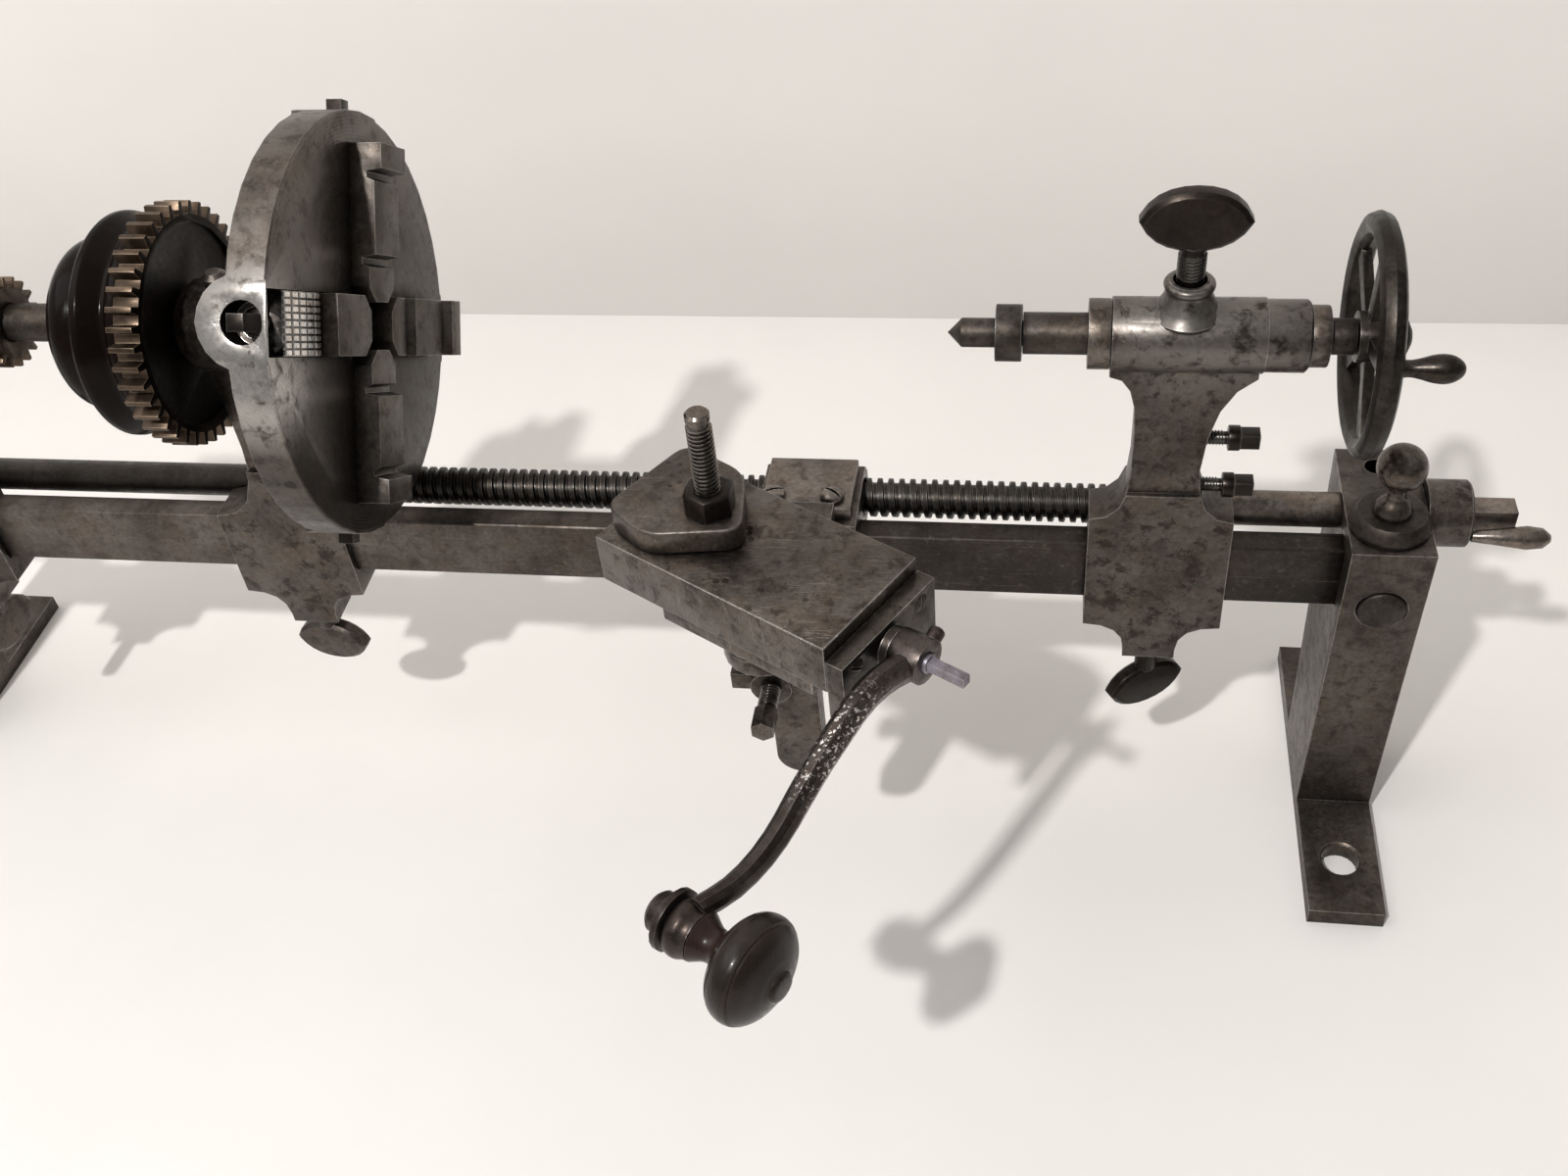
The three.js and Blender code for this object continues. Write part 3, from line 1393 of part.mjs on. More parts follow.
// Curved, tapering crank arm between the hub and the eye
function crankArm(middle) {
  const path = new THREE.CatmullRomCurve3(crankPathShares.map(([reach, fall]) => {
    const bow = crankBow * Math.sin(Math.PI * reach ** 1.5)
    return new THREE.Vector3(middle + bow - reach ** 3 * crankSet, -reach * crankReach, -fall * crankFall)
  }))
  const sides = crankSides
  const stations = crankStations
  const places = []
  const corners = []
  for (let station = 0; station <= stations; station++) {
    const share = station / stations
    const centre = path.getPoint(share)
    const along = path.getTangent(share)
    const across = new THREE.Vector3(0, -along.z, along.y)
    const radius = crankRootRadius + (crankTipRadius - crankRootRadius) * share
    for (let side = 0; side < sides; side++) {
      const angle = 2 * Math.PI * side / sides
      const x = centre.x + crankFlatShare * radius * Math.cos(angle)
      const y = centre.y + across.y * radius * Math.sin(angle)
      const z = centre.z + across.z * radius * Math.sin(angle)
      places.push(x, y, z)
    }
  }
  for (let station = 0; station < stations; station++) {
    for (let side = 0; side < sides; side++) {
      const a = station * sides + side
      const b = station * sides + (side + 1) % sides
      corners.push(a, b, b + sides, a, b + sides, a + sides)
    }
  }
  for (let side = 1; side < sides - 1; side++) {
    const last = stations * sides
    corners.push(0, side + 1, side, last, last + side, last + side + 1)
  }
  const geometry = new THREE.BufferGeometry()
  geometry.setAttribute('position', new THREE.Float32BufferAttribute(places, 3))
  geometry.setIndex(corners)
  return solidFrom(geometry)
}

const crankPlane = crankHubStart + crankHubLength / 2
const crankEyeEnd = crankPlane - crankSet + crankEyeLength / 2

// Crank: hub on the feed screw, arm, eye and the fixed pin that the knob turns on
function crank() {
  const hub = solidFrom(rod(crankHubRadius, crankHubStart, crankHubStart + crankHubLength, mediumSides))
  const bore = solidFrom(rod(
    feedScrewRadius + seatGap,
    crankHubStart - cutOverrun,
    crankHubStart + crankHubLength + cutOverrun,
    smallSides,
  ))
  const eyeStart = crankEyeEnd - crankEyeLength
  const ringStart = eyeStart - crankRingLength
  const headStart = ringStart - knobPinHeadLength
  const eye = solidFrom(turned([
    [headStart, 0],
    ...profileAt(crankBeadShares, headStart, knobPinHeadLength, knobPinHeadRadius),
    ...profileAt(crankBeadShares, ringStart, crankRingLength, crankRingRadius),
    ...profileAt(crankEyeShares, eyeStart, crankEyeLength, crankEyeRadius),
    [crankEyeEnd, knobPinRadius],
    [crankEyeEnd + knobBoreLength - seatGap, knobPinRadius],
    [crankEyeEnd + knobBoreLength - seatGap, 0],
  ], mediumSides)).translate([0, -crankReach, -crankFall])
  const mesh = piece('crank', without(joined(hub, crankArm(crankPlane), eye), bore), 'agedSteel')
  mesh.position.z = -feedScrewDrop
  return mesh
}

// Turned knob: flared root, neck, flattened ball and end button
function crankKnob() {
  const start = crankEyeEnd + seatGap
  const bore = knobPinRadius + runGap
  const profile = [
    [start, bore],
    ...profileAt(knobRootShares, start, knobLength, knobRootRadius),
    ...profileAt(knobNeckShares, start, knobLength, knobNeckRadius),
    ...profileAt(knobBallShares, start, knobLength, knobRadius),
    ...profileAt(knobButtonShares, start, knobLength, knobButtonRadius),
    [start + knobBoreLength, 0],
    [start + knobBoreLength, bore],
    [start, bore],
  ]
  const mesh = piece('crank_knob', solidFrom(turned(profile, mediumSides)), 'darkKnob')
  mesh.position.set(0, -crankReach, -feedScrewDrop - crankFall)
  return mesh
}

// Five-sided tool clamp plate with rounded corners and a stud hole
function clampPlate() {
  const bottom = -topSlideDrop + seatGap
  const outline = clampOutlineShares.map(([x, y]) => [x * clampPlateLength, y * clampPlateWidth])
  const plate = raised(roundedShape(outline, clampCornerRound), bottom, bottom + clampPlateThickness)
  const over = [bottom - cutOverrun, bottom + clampPlateThickness + cutOverrun]
  const hole = solidFrom(alongZ(rod(studRadius + runGap, ...over, smallSides)))
  return atStud(piece('clamp_plate', without(solidFrom(plate), hole), 'brightSteel'))
}

function atStud(mesh) {
  mesh.position.set(-studInset, -studOffset, 0)
  return mesh
}

function clampStud() {
  const bottom = -topSlideDrop - studSink + seatGap
  const stud = turned([
    [bottom, 0],
    [bottom, studRadius],
    [studTopRise - edgeBreak, studRadius],
    [studTopRise, studRadius - edgeBreak],
    [studTopRise, 0],
  ], smallSides)
  return atStud(piece('clamp_stud', solidFrom(alongZ(stud)), 'agedSteel'))
}

function clampNut() {
  const bottom = -topSlideDrop + seatGap + clampPlateThickness + seatGap
  const corner = nutAcrossFlats / Math.sqrt(3)
  const body = alongZ(turned([
    [bottom, 0],
    [bottom, corner],
    [bottom + nutHeight - edgeBreak, corner],
    [bottom + nutHeight, corner - nutChamfer],
    [bottom + nutHeight, 0],
  ], hexSides))
  const bore = rod(studRadius + runGap, bottom - cutOverrun, bottom + nutHeight + cutOverrun, smallSides)
  return atStud(piece('clamp_nut', without(solidFrom(body), solidFrom(alongZ(bore))), 'blackSteel'))
}

// Tailstock poppet with its barrel, rear sleeve and quill lock boss
function tailPoppet() {
  const left = tailBarrelLeft - tailCentreX
  const step = tailBarrelStep - tailCentreX
  const right = tailBarrelRight - tailCentreX
  const body = poppetBody({
    webLeft: -webHalfWidth,
    webRight: webHalfWidth,
    flangeLeft: left,
    flangeRight: step - edgeBreak,
    shoulder: tailShoulderDrop,
    rightFilletDrop: webStraightDrop,
    rightBend: [webHalfWidth + tailBendReach, -tailBendDrop],
  })
  const barrel = solidFrom(turned([
    [left, 0],
    [left, barrelRadius],
    [step, barrelRadius],
    [step, tailSleeveRadius],
    [right - edgeBreak, tailSleeveRadius],
    [right, tailSleeveRadius - edgeBreak],
    [right, 0],
  ], mediumSides))
  const bore = solidFrom(rod(quillRadius + runGap, left - cutOverrun, right + cutOverrun, mediumSides))
  const bossTop = barrelRadius + lockBossHeight
  const boss = alongZ(turned([
    [quillRadius, 0],
    [quillRadius, lockBossRadius],
    [barrelRadius, lockBossRadius],
    [bossTop, lockBossTopRadius],
    [bossTop, 0],
  ], mediumSides)).translate(quillLockX - tailCentreX, 0, 0)
  const lock = alongZ(rod(quillLockStemRadius + runGap, 0, bossTop + cutOverrun, smallSides))
  const cuts = [bore, solidFrom(lock.translate(quillLockX - tailCentreX, 0, 0))]
  for (const order of [0, 1]) cuts.push(sideScrewHole(order))
  const mesh = piece('tail_poppet', without(joined(body, barrel, solidFrom(boss)), ...cuts), 'agedSteel')
  mesh.position.set(tailCentreX, 0, spindleHeight)
  return mesh
}

function sideScrewDrop(order) {
  return sideScrewTopDrop + sideScrewSpacing * order
}

function sideScrewHole(order) {
  const start = webHalfWidth - sideScrewGrip - seatGap
  const spot = webHalfWidth + sideScrewStemLength - seatGap
  const end = cheekHalfWidth + cutOverrun
  const hole = solidFrom(rod(sideScrewRadius + seatGap, start, end, smallSides))
  const relief = solidFrom(rod(sideScrewCollarRadius + seatGap, spot, end, smallSides))
  return joined(hole, relief).translate([0, 0, -sideScrewDrop(order)])
}

// Square-headed screw with a collar in the side of the tailstock web
function sideScrew(name, order) {
  const start = webHalfWidth - sideScrewGrip
  const collar = webHalfWidth + sideScrewStemLength
  const square = collar + sideScrewCollarLength
  const half = sideScrewSquare / 2
  const stem = solidFrom(turned([
    [start, 0],
    [start, sideScrewRadius],
    [collar, sideScrewRadius],
    [collar, sideScrewCollarRadius],
    [square, sideScrewCollarRadius],
    [square, 0],
  ], smallSides))
  const headX = [square - edgeBreak, square + sideScrewSquareLength]
  const head = blockSolid(headX, [-half, half], [-half, half])
  const mesh = piece(name, joined(stem, head), 'blackSteel')
  mesh.position.set(tailCentreX, 0, spindleHeight - sideScrewDrop(order))
  return mesh
}

function quillGland() {
  const end = tailBarrelLeft - seatGap
  const gland = ring(glandRadius, quillRadius + runGap, end - glandLength, end, mediumSides)
  return onSpindle(piece('quill_gland', solidFrom(gland), 'agedSteel'))
}

const tailCapEnd = tailBarrelRight + seatGap + tailCapLength

function tailCap() {
  const start = tailBarrelRight + seatGap
  const cap = ring(tailCapRadius, tailScrewRadius + runGap, start, tailCapEnd, mediumSides)
  return onSpindle(piece('tail_cap', solidFrom(cap), 'agedSteel'))
}

// Quill, hollow behind for the screw and bored in front for the centre
function quill() {
  const end = quillFront + quillLength
  const centreBore = centreTangRadius + seatGap
  const pocket = rod(centreBore, quillFront - cutOverrun, quillFront + centreTangLength + seatGap, smallSides)
  const hollow = rod(tailScrewRadius + runGap, quillFront + quillWall, end + cutOverrun, smallSides)
  const body = solidFrom(rod(quillRadius, quillFront, end, mediumSides))
  return onSpindle(piece('quill', without(body, solidFrom(pocket), solidFrom(hollow)), 'agedSteel'))
}

function quillRing() {
  const end = quillFront - seatGap
  const nose = ring(quillRingRadius, centreRadius + seatGap, end - quillRingLength, end, mediumSides)
  return onSpindle(piece('quill_ring', solidFrom(nose), 'agedSteel'))
}

function tailCentre() {
  const back = quillFront - seatGap
  const cone = back - quillRingLength - centreBodyLength
  const centre = turned([
    [cone - centrePointLength, 0],
    [cone, centreRadius],
    [back, centreRadius],
    [back, centreTangRadius],
    [back + centreTangLength, centreTangRadius],
    [back + centreTangLength, 0],
  ], mediumSides)
  return onSpindle(piece('tail_centre', solidFrom(centre), 'agedSteel'))
}

// Tailstock screw: thread inside the quill, shaft to the wheel, and the nut that holds the wheel
function tailScrew() {
  const capEnd = tailCapEnd + seatGap
  const hubStart = capEnd + tailShaftLength
  const hubEnd = hubStart + seatGap + wheelHubLength + seatGap
  const screw = turned([
    [capEnd - tailScrewLength, 0],
    [capEnd - tailScrewLength, tailScrewRadius],
    [capEnd, tailScrewRadius],
    [capEnd, tailShaftRadius],
    [hubStart, tailShaftRadius],
    [hubStart, tailScrewRadius],
    [hubEnd, tailScrewRadius],
    ...profileAt(wheelNutShares, hubEnd, wheelNutHeight, wheelNutRadius),
  ], mediumSides)
  return onSpindle(piece('tail_screw', solidFrom(screw), 'agedSteel'))
}

// Handwheel: round rim, hub, spokes and the boss under the handle
function tailWheel() {
  const hubStart = tailCapEnd + seatGap + tailShaftLength + seatGap
  const rimPoints = []
  for (let step = 0; step <= ringSteps; step++) {
    const angle = 2 * Math.PI * step / ringSteps
    rimPoints.push([
      wheelPlaneX + wheelRimRadius * Math.sin(angle),
      wheelRingRadius + wheelRimRadius * Math.cos(angle),
    ])
  }
  rimPoints[ringSteps] = rimPoints[0]
  let wheel = solidFrom(turned(rimPoints, largeSides))
  wheel = wheel.add(solidFrom(rod(wheelHubRadius, hubStart, hubStart + wheelHubLength, mediumSides)))
  const thin = wheelSpokeThickness / 2
  const wide = wheelSpokeWidth / 2
  const spokeX = [wheelPlaneX - thin, wheelPlaneX + thin]
  const spokeY = [wheelHubRadius - edgeBreak, wheelRingRadius]
  for (let spoke = 0; spoke < wheelSpokes; spoke++) {
    const bar = block(spokeX, spokeY, [-wide, wide])
    const angle = wheelHandleAngle * degree + 2 * Math.PI * spoke / wheelSpokes
    wheel = wheel.add(solidFrom(bar.rotateX(angle)))
  }
  const boss = rod(wheelHandleBossRadius, wheelPlaneX - thin, wheelHandleX() - seatGap, smallSides)
  boss.translate(0, wheelHandleCircle, 0).rotateX(wheelHandleAngle * degree)
  wheel = wheel.add(solidFrom(boss))
  const boreEnds = [hubStart - cutOverrun, hubStart + wheelHubLength + cutOverrun]
  const bore = rod(tailScrewRadius + seatGap, ...boreEnds, smallSides)
  return onSpindle(piece('tail_wheel', without(wheel, solidFrom(bore)), 'blackSteel'))
}

function wheelHandleX() {
  return wheelPlaneX + wheelRimRadius
}

function wheelHandle() {
  const profile = [
    [0, 0],
    ...profileAt(wheelHandleRootShares, 0, wheelHandleLength, wheelHandleRootRadius),
    ...profileAt(wheelHandleShares, 0, wheelHandleLength, wheelHandleRadius),
  ]
  const mesh = piece('wheel_handle', solidFrom(turned(profile, smallSides)), 'blackSteel')
  const angle = wheelHandleAngle * degree
  const y = wheelHandleCircle * Math.cos(angle)
  const z = wheelHandleCircle * Math.sin(angle)
  mesh.position.set(wheelHandleX(), y, spindleHeight + z)
  return mesh
}

// Quill lock screw with its leaf head above the barrel
function quillLock() {
  const start = quillRadius + seatGap
  const leafBottom = barrelRadius + quillLockStemRise
  const stem = solidFrom(alongZ(rod(quillLockStemRadius, start, leafBottom + leafBevel, smallSides)))
  const leaf = leafHead(quillLeafWidth, quillLeafHeight).translate([0, 0, leafBottom + quillLeafHeight / 2])
  const mesh = piece('quill_lock', joined(stem, leaf), 'blackSteel')
  mesh.position.set(quillLockX, 0, spindleHeight)
  return mesh
}

// Assembly
const group = new THREE.Group()
group.add(bedBar())
group.add(leg('left_leg', 0, 1, false))
group.add(leg('right_leg', legSpan, -1, true))
group.add(legScrew('left_leg_screw', 0))
group.add(legScrew('right_leg_screw', legSpan))
group.add(lockCollar())
group.add(lockKnob())
group.add(leadScrew())
group.add(leadHub())
group.add(leadPin())
group.add(headFrontPoppet())
group.add(oilCap())
group.add(headRearPoppet())
group.add(clampScrew('head_front_clamp', headFrontCentre, clampNeckLength, headFrontLeafAngle))
group.add(clampScrew('head_rear_clamp', headRearCentre, clampNeckLength, headRearLeafAngle))
group.add(spindle())
group.add(smallGear())
group.add(conePulley())
group.add(bullGear())
group.add(chuckBody())
group.add(steppedJaw('jaw_top', 0))
group.add(frontJaw())
group.add(knurlBlock())
group.add(steppedJaw('jaw_bottom', 2))
group.add(steppedJaw('jaw_rear', 3))
const screwNames = ['jaw_screw_top', 'jaw_screw_front', 'jaw_screw_bottom', 'jaw_screw_rear']
screwNames.forEach((name, quarterTurns) => group.add(jawScrew(name, quarterTurns)))
group.add(carriage())
group.add(nutCap())
group.add(capScrew('nut_cap_screw_1', -1))
group.add(capScrew('nut_cap_screw_2', 1))
group.add(sideBolt())
group.add(frontBolt())

const slide = slideFrame()
slide.add(slideBase())
slide.add(topSlide())
slide.add(endPlate())
slide.add(endScrew('end_screw_1', -1))
slide.add(endScrew('end_screw_2', 1))
slide.add(feedScrew())
slide.add(crank())
slide.add(crankKnob())
slide.add(clampPlate())
slide.add(clampStud())
slide.add(clampNut())
group.add(slide)

group.add(tailPoppet())
group.add(sideScrew('tail_side_screw_1', 0))
group.add(sideScrew('tail_side_screw_2', 1))
group.add(quillGland())
group.add(tailCap())
group.add(quill())
group.add(quillRing())
group.add(tailCentre())
group.add(tailScrew())
group.add(tailWheel())
group.add(wheelHandle())
group.add(quillLock())
group.add(clampScrew('tail_clamp', tailCentreX, tailClampNeckLength, tailLeafAngle))

export default group
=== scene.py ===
"""Bar-bed lathe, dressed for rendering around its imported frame."""

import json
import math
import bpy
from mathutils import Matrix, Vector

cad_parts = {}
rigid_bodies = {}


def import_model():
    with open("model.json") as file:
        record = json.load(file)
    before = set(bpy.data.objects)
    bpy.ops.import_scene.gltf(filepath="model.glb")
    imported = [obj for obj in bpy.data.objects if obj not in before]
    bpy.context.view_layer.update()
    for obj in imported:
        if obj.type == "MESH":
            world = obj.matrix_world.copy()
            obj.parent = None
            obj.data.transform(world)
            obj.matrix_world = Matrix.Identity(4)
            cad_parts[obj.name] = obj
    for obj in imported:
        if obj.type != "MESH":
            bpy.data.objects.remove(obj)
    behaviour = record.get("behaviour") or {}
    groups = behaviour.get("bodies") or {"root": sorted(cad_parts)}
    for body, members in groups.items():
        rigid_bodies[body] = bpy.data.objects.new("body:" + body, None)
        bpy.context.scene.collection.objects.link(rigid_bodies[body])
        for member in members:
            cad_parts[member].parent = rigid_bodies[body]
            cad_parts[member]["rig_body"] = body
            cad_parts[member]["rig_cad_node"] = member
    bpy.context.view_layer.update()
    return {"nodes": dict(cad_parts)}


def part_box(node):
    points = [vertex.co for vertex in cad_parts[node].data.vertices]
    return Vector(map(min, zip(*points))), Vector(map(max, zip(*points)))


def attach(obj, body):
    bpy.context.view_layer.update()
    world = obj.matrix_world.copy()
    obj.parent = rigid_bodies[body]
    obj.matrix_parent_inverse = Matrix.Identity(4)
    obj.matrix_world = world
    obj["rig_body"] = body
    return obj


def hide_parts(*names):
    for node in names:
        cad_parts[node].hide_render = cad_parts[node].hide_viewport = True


bl_info = {
    "name": "Bar-bed lathe",
    "version": (1, 0, 0),
    "blender": (4, 5, 0),
    "location": "View3D > Sidebar > Lathe",
    "description": "Finishes the pieces of a small bar-bed lathe and sets its table",
    "category": "Add Mesh",
}

import bpy
from bpy.props import FloatProperty, FloatVectorProperty, IntProperty, PointerProperty
from bpy.types import Operator, Panel, PropertyGroup
from mathutils import Matrix, Vector

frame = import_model()

MM = 0.001
SPINDLE_HEIGHT = 220 * MM
CHUCK_LEAN = math.radians(35)
SLIDE_TURN = math.radians(-30.1)
SLIDE_AXIS = (math.cos(SLIDE_TURN), math.sin(SLIDE_TURN), 0)
UP, RIGHT, FRONT = (0, 0, 1), (1, 0, 0), (0, -1, 0)

# In millimetres: the slide's right end, the feed screw's height, and how far the crank takes its knob from it
SLIDE_END = (442.8, -99.1)
FEED_HEIGHT, CRANK_REACH, CRANK_DROP = 180, 99, 23.6
QUILL_LOCK_X = 532.8

# Marks on the slide rest: (along, across) in millimetres from the slide's right end
PUNCH_MARKS = ((-85.2, 9.3), (-81.3, 10.6), (-79.9, 5.1), (-78.5, 7.8), (-76.9, 0.8), (-75.6, 4.0))
SLIDE_DENTS = (
    (-47.3, 2.3), (-49.4, 4.0), (-50.7, 5.8), (-44.1, -17.5), (-41.8, -15.9), (-16.6, -9.5), (-30.5, -13.5),
)

# The photograph's frame in pixels, and the camera found from it
IMAGE_WIDTH, IMAGE_HEIGHT = 1600, 1200
OPTICAL_CENTRE, FOCAL_PIXELS = (799.663, 591.750), 1640.4655
CAMERA_PLACE = (0.4926, -0.4318, 0.5172)
CAMERA_YAW, CAMERA_PITCH, CAMERA_ROLL = 0.2210127, 0.7465186, 0.115426
SENSOR_WIDTH = 36
WARM_WHITE = (1.0, 0.985, 0.965)


def colour_setting(name, description, default):
    """A colour that a user may change."""
    return FloatVectorProperty(
        name=name, description=description, default=default, subtype="COLOR", min=0.0, max=1.0
    )


def length_setting(name, description, default):
    """A length that a user may change."""
    return FloatProperty(
        name=name, description=description, default=default, min=0.0, unit="LENGTH", precision=5
    )


class LatheSizes(PropertyGroup):
    """Sizes of the details that the frame leaves plain."""

    edge: length_setting("Edge break", "Rounding of the filed edges", 0.45 * MM)
    fine_edge: length_setting("Fine edge break", "Rounding on small screws and teeth", 0.2 * MM)
    lead_pitch: length_setting("Lead screw pitch", "Advance of the lead screw per turn", 4.0 * MM)
    stud_pitch: length_setting("Stud pitch", "Advance of the tool stud's thread", 1.5 * MM)
    screw_pitch: length_setting("Screw pitch", "Advance of the small clamp screws", 1.2 * MM)
    round_sides: IntProperty(
        name="Round sides", description="Faces around a turned piece", default=72, min=12, max=256
    )


class LatheColours(PropertyGroup):
    """Base colours of the finishes."""

    steel: colour_setting("Steel", "Main tone of the aged steel", (0.094, 0.082, 0.073))
    steel_worn: colour_setting("Worn edges", "Edges rubbed bright", (0.460, 0.438, 0.415))
    black_steel: colour_setting("Black steel", "Blackened screws", (0.020, 0.015, 0.012))
    crank: colour_setting("Crank", "Dark tone of the forged crank", (0.073, 0.060, 0.055))
    knurl: colour_setting("Knurled block", "Bright cut squares", (0.86, 0.84, 0.82))
    square_end: colour_setting("Square end", "Cool tone of the feed screw's end", (0.21, 0.195, 0.235))
    bronze: colour_setting("Bronze", "Gear bronze", (0.082, 0.057, 0.040))
    bronze_worn: colour_setting("Rubbed bronze", "Rubbed edges of the teeth", (0.400, 0.315, 0.220))
    # Also the painted shade on the large gear's flank that faces away from the light
    oil: colour_setting("Oil stain", "Old oil on the gears", (0.010, 0.006, 0.004))
    pulley: colour_setting("Pulley black", "Glossy black of the cone pulley", (0.0050, 0.0028, 0.0022))
    knob: colour_setting("Knob", "Dark polished crank knob", (0.0150, 0.0105, 0.0085))
    floor: colour_setting("Table", "Pale table top", (0.880, 0.855, 0.830))
    wall: colour_setting("Wall", "Pale wall behind the table", (0.780, 0.755, 0.730))


class NodeBuilder:
    """Adds and joins the nodes of one tree."""

    def __init__(self, tree):
        self.nodes = tree.nodes
        self.links = tree.links

    def link(self, value, socket):
        """Joins an output to a socket, or sets the socket to a plain value."""
        if isinstance(value, bpy.types.NodeSocket):
            self.links.new(value, socket)
        else:
            socket.default_value = value

    def add(self, kind, values=None, **settings):
        """Adds a node, sets it, fills its sockets and returns its outputs."""
        node = self.nodes.new("ShaderNode" + kind)
        for key, value in settings.items():
            setattr(node, key, value)
        for socket, value in (values or {}).items():
            self.link(value, node.inputs[socket])
        return node.outputs

    def sum(self, operation, first, second):
        """One arithmetic step."""
        return self.add("Math", {0: first, 1: second}, operation=operation)[0]

    def times(self, first, second):
        """The product of two values."""
        return self.sum("MULTIPLY", first, second)


class Recipe(NodeBuilder):
    """Builds one procedural material on Object coordinates."""

    def __init__(self, name):
        self.material = bpy.data.materials.new(name)
        self.material.use_nodes = True
        super().__init__(self.material.node_tree)
        self.shader = self.nodes["Principled BSDF"]
        self.place = self.add("TexCoord")["Object"]

    def stretched(self, scale, centre=(0, 0, 0), turn=(0, 0, 0)):
        """Object coordinates moved to a centre, turned and stretched."""
        away = self.add("VectorMath", {0: self.place, 1: centre}, operation="SUBTRACT")[0]
        return self.add("Mapping", {"Vector": away, "Rotation": turn, "Scale": scale})["Vector"]

    def noise(self, scale, detail=4.0, roughness=0.6, place=None, distortion=0.0):
        """Cloudy pattern from 0 to 1."""
        return self.add("TexNoise", {
            "Vector": place or self.place, "Scale": scale, "Detail": detail, "Roughness": roughness,
            "Distortion": distortion,
        })["Fac"]

    def specks(self, scale):
        """Distance to scattered points."""
        return self.add("TexVoronoi", {"Vector": self.place, "Scale": scale})["Distance"]

    def span(self, value, low, high, start=0.0, end=1.0):
        """Maps low..high of a value to start..end, held at both ends."""
        return self.add("MapRange", {
            "Value": value, "From Min": low, "From Max": high, "To Min": start, "To Max": end,
        }, interpolation_type="SMOOTHSTEP")["Result"]

    def occlusion_shade_and_grime(self, reach):
        """1 on open faces and less in corners and recesses, where shade falls and grime gathers."""
        return self.add("AmbientOcclusion", {"Distance": reach}, samples=6)["AO"]

    def along(self, axis, vector=None):
        """One coordinate of the place or of another vector."""
        return self.add("SeparateXYZ", {0: vector or self.place})[axis]

    def scaled(self, colour, share):
        """A colour times a varying share."""
        return self.add("VectorMath", {0: colour, "Scale": share}, operation="SCALE")["Vector"]

    def rings(self, direction, centre, scale):
        """Fine turning marks around an axis."""
        return self.add("TexWave", {
            "Vector": self.stretched((1, 1, 1), centre=centre), "Scale": scale, "Distortion": 1.2,
            "Detail": 3.0, "Detail Scale": 2.0,
        }, wave_type="RINGS", rings_direction=direction)["Fac"]

    def mix(self, share, first, second):
        """Blend of two colours."""
        ends = [end if isinstance(end, bpy.types.NodeSocket) else (*end, 1) for end in (first, second)]
        return self.add("Mix", {"Factor": share, 6: ends[0], 7: ends[1]}, data_type="RGBA")[2]

    def worn_edges(self, radius):
        """Near 1 on outer edges and 0 on open faces."""
        rounded = self.add("Bevel", {"Radius": radius}, samples=4)["Normal"]
        flat = self.add("NewGeometry")["Normal"]
        match = self.add("VectorMath", {0: rounded, 1: flat}, operation="DOT_PRODUCT")["Value"]
        return self.span(match, 0.995, 0.86)

    def bump(self, height, strength, distance):
        """Fine relief of the surface."""
        return self.add("Bump", {"Strength": strength, "Distance": distance, "Height": height})["Normal"]

    def distance_to(self, point):
        """Distance from a place on the machine."""
        return self.add("VectorMath", {0: self.place, 1: point}, operation="DISTANCE")["Value"]


def mix_tone(colour, share):
    """A colour made lighter or darker by a share."""
    return tuple(min(1.0, part * share) for part in colour)


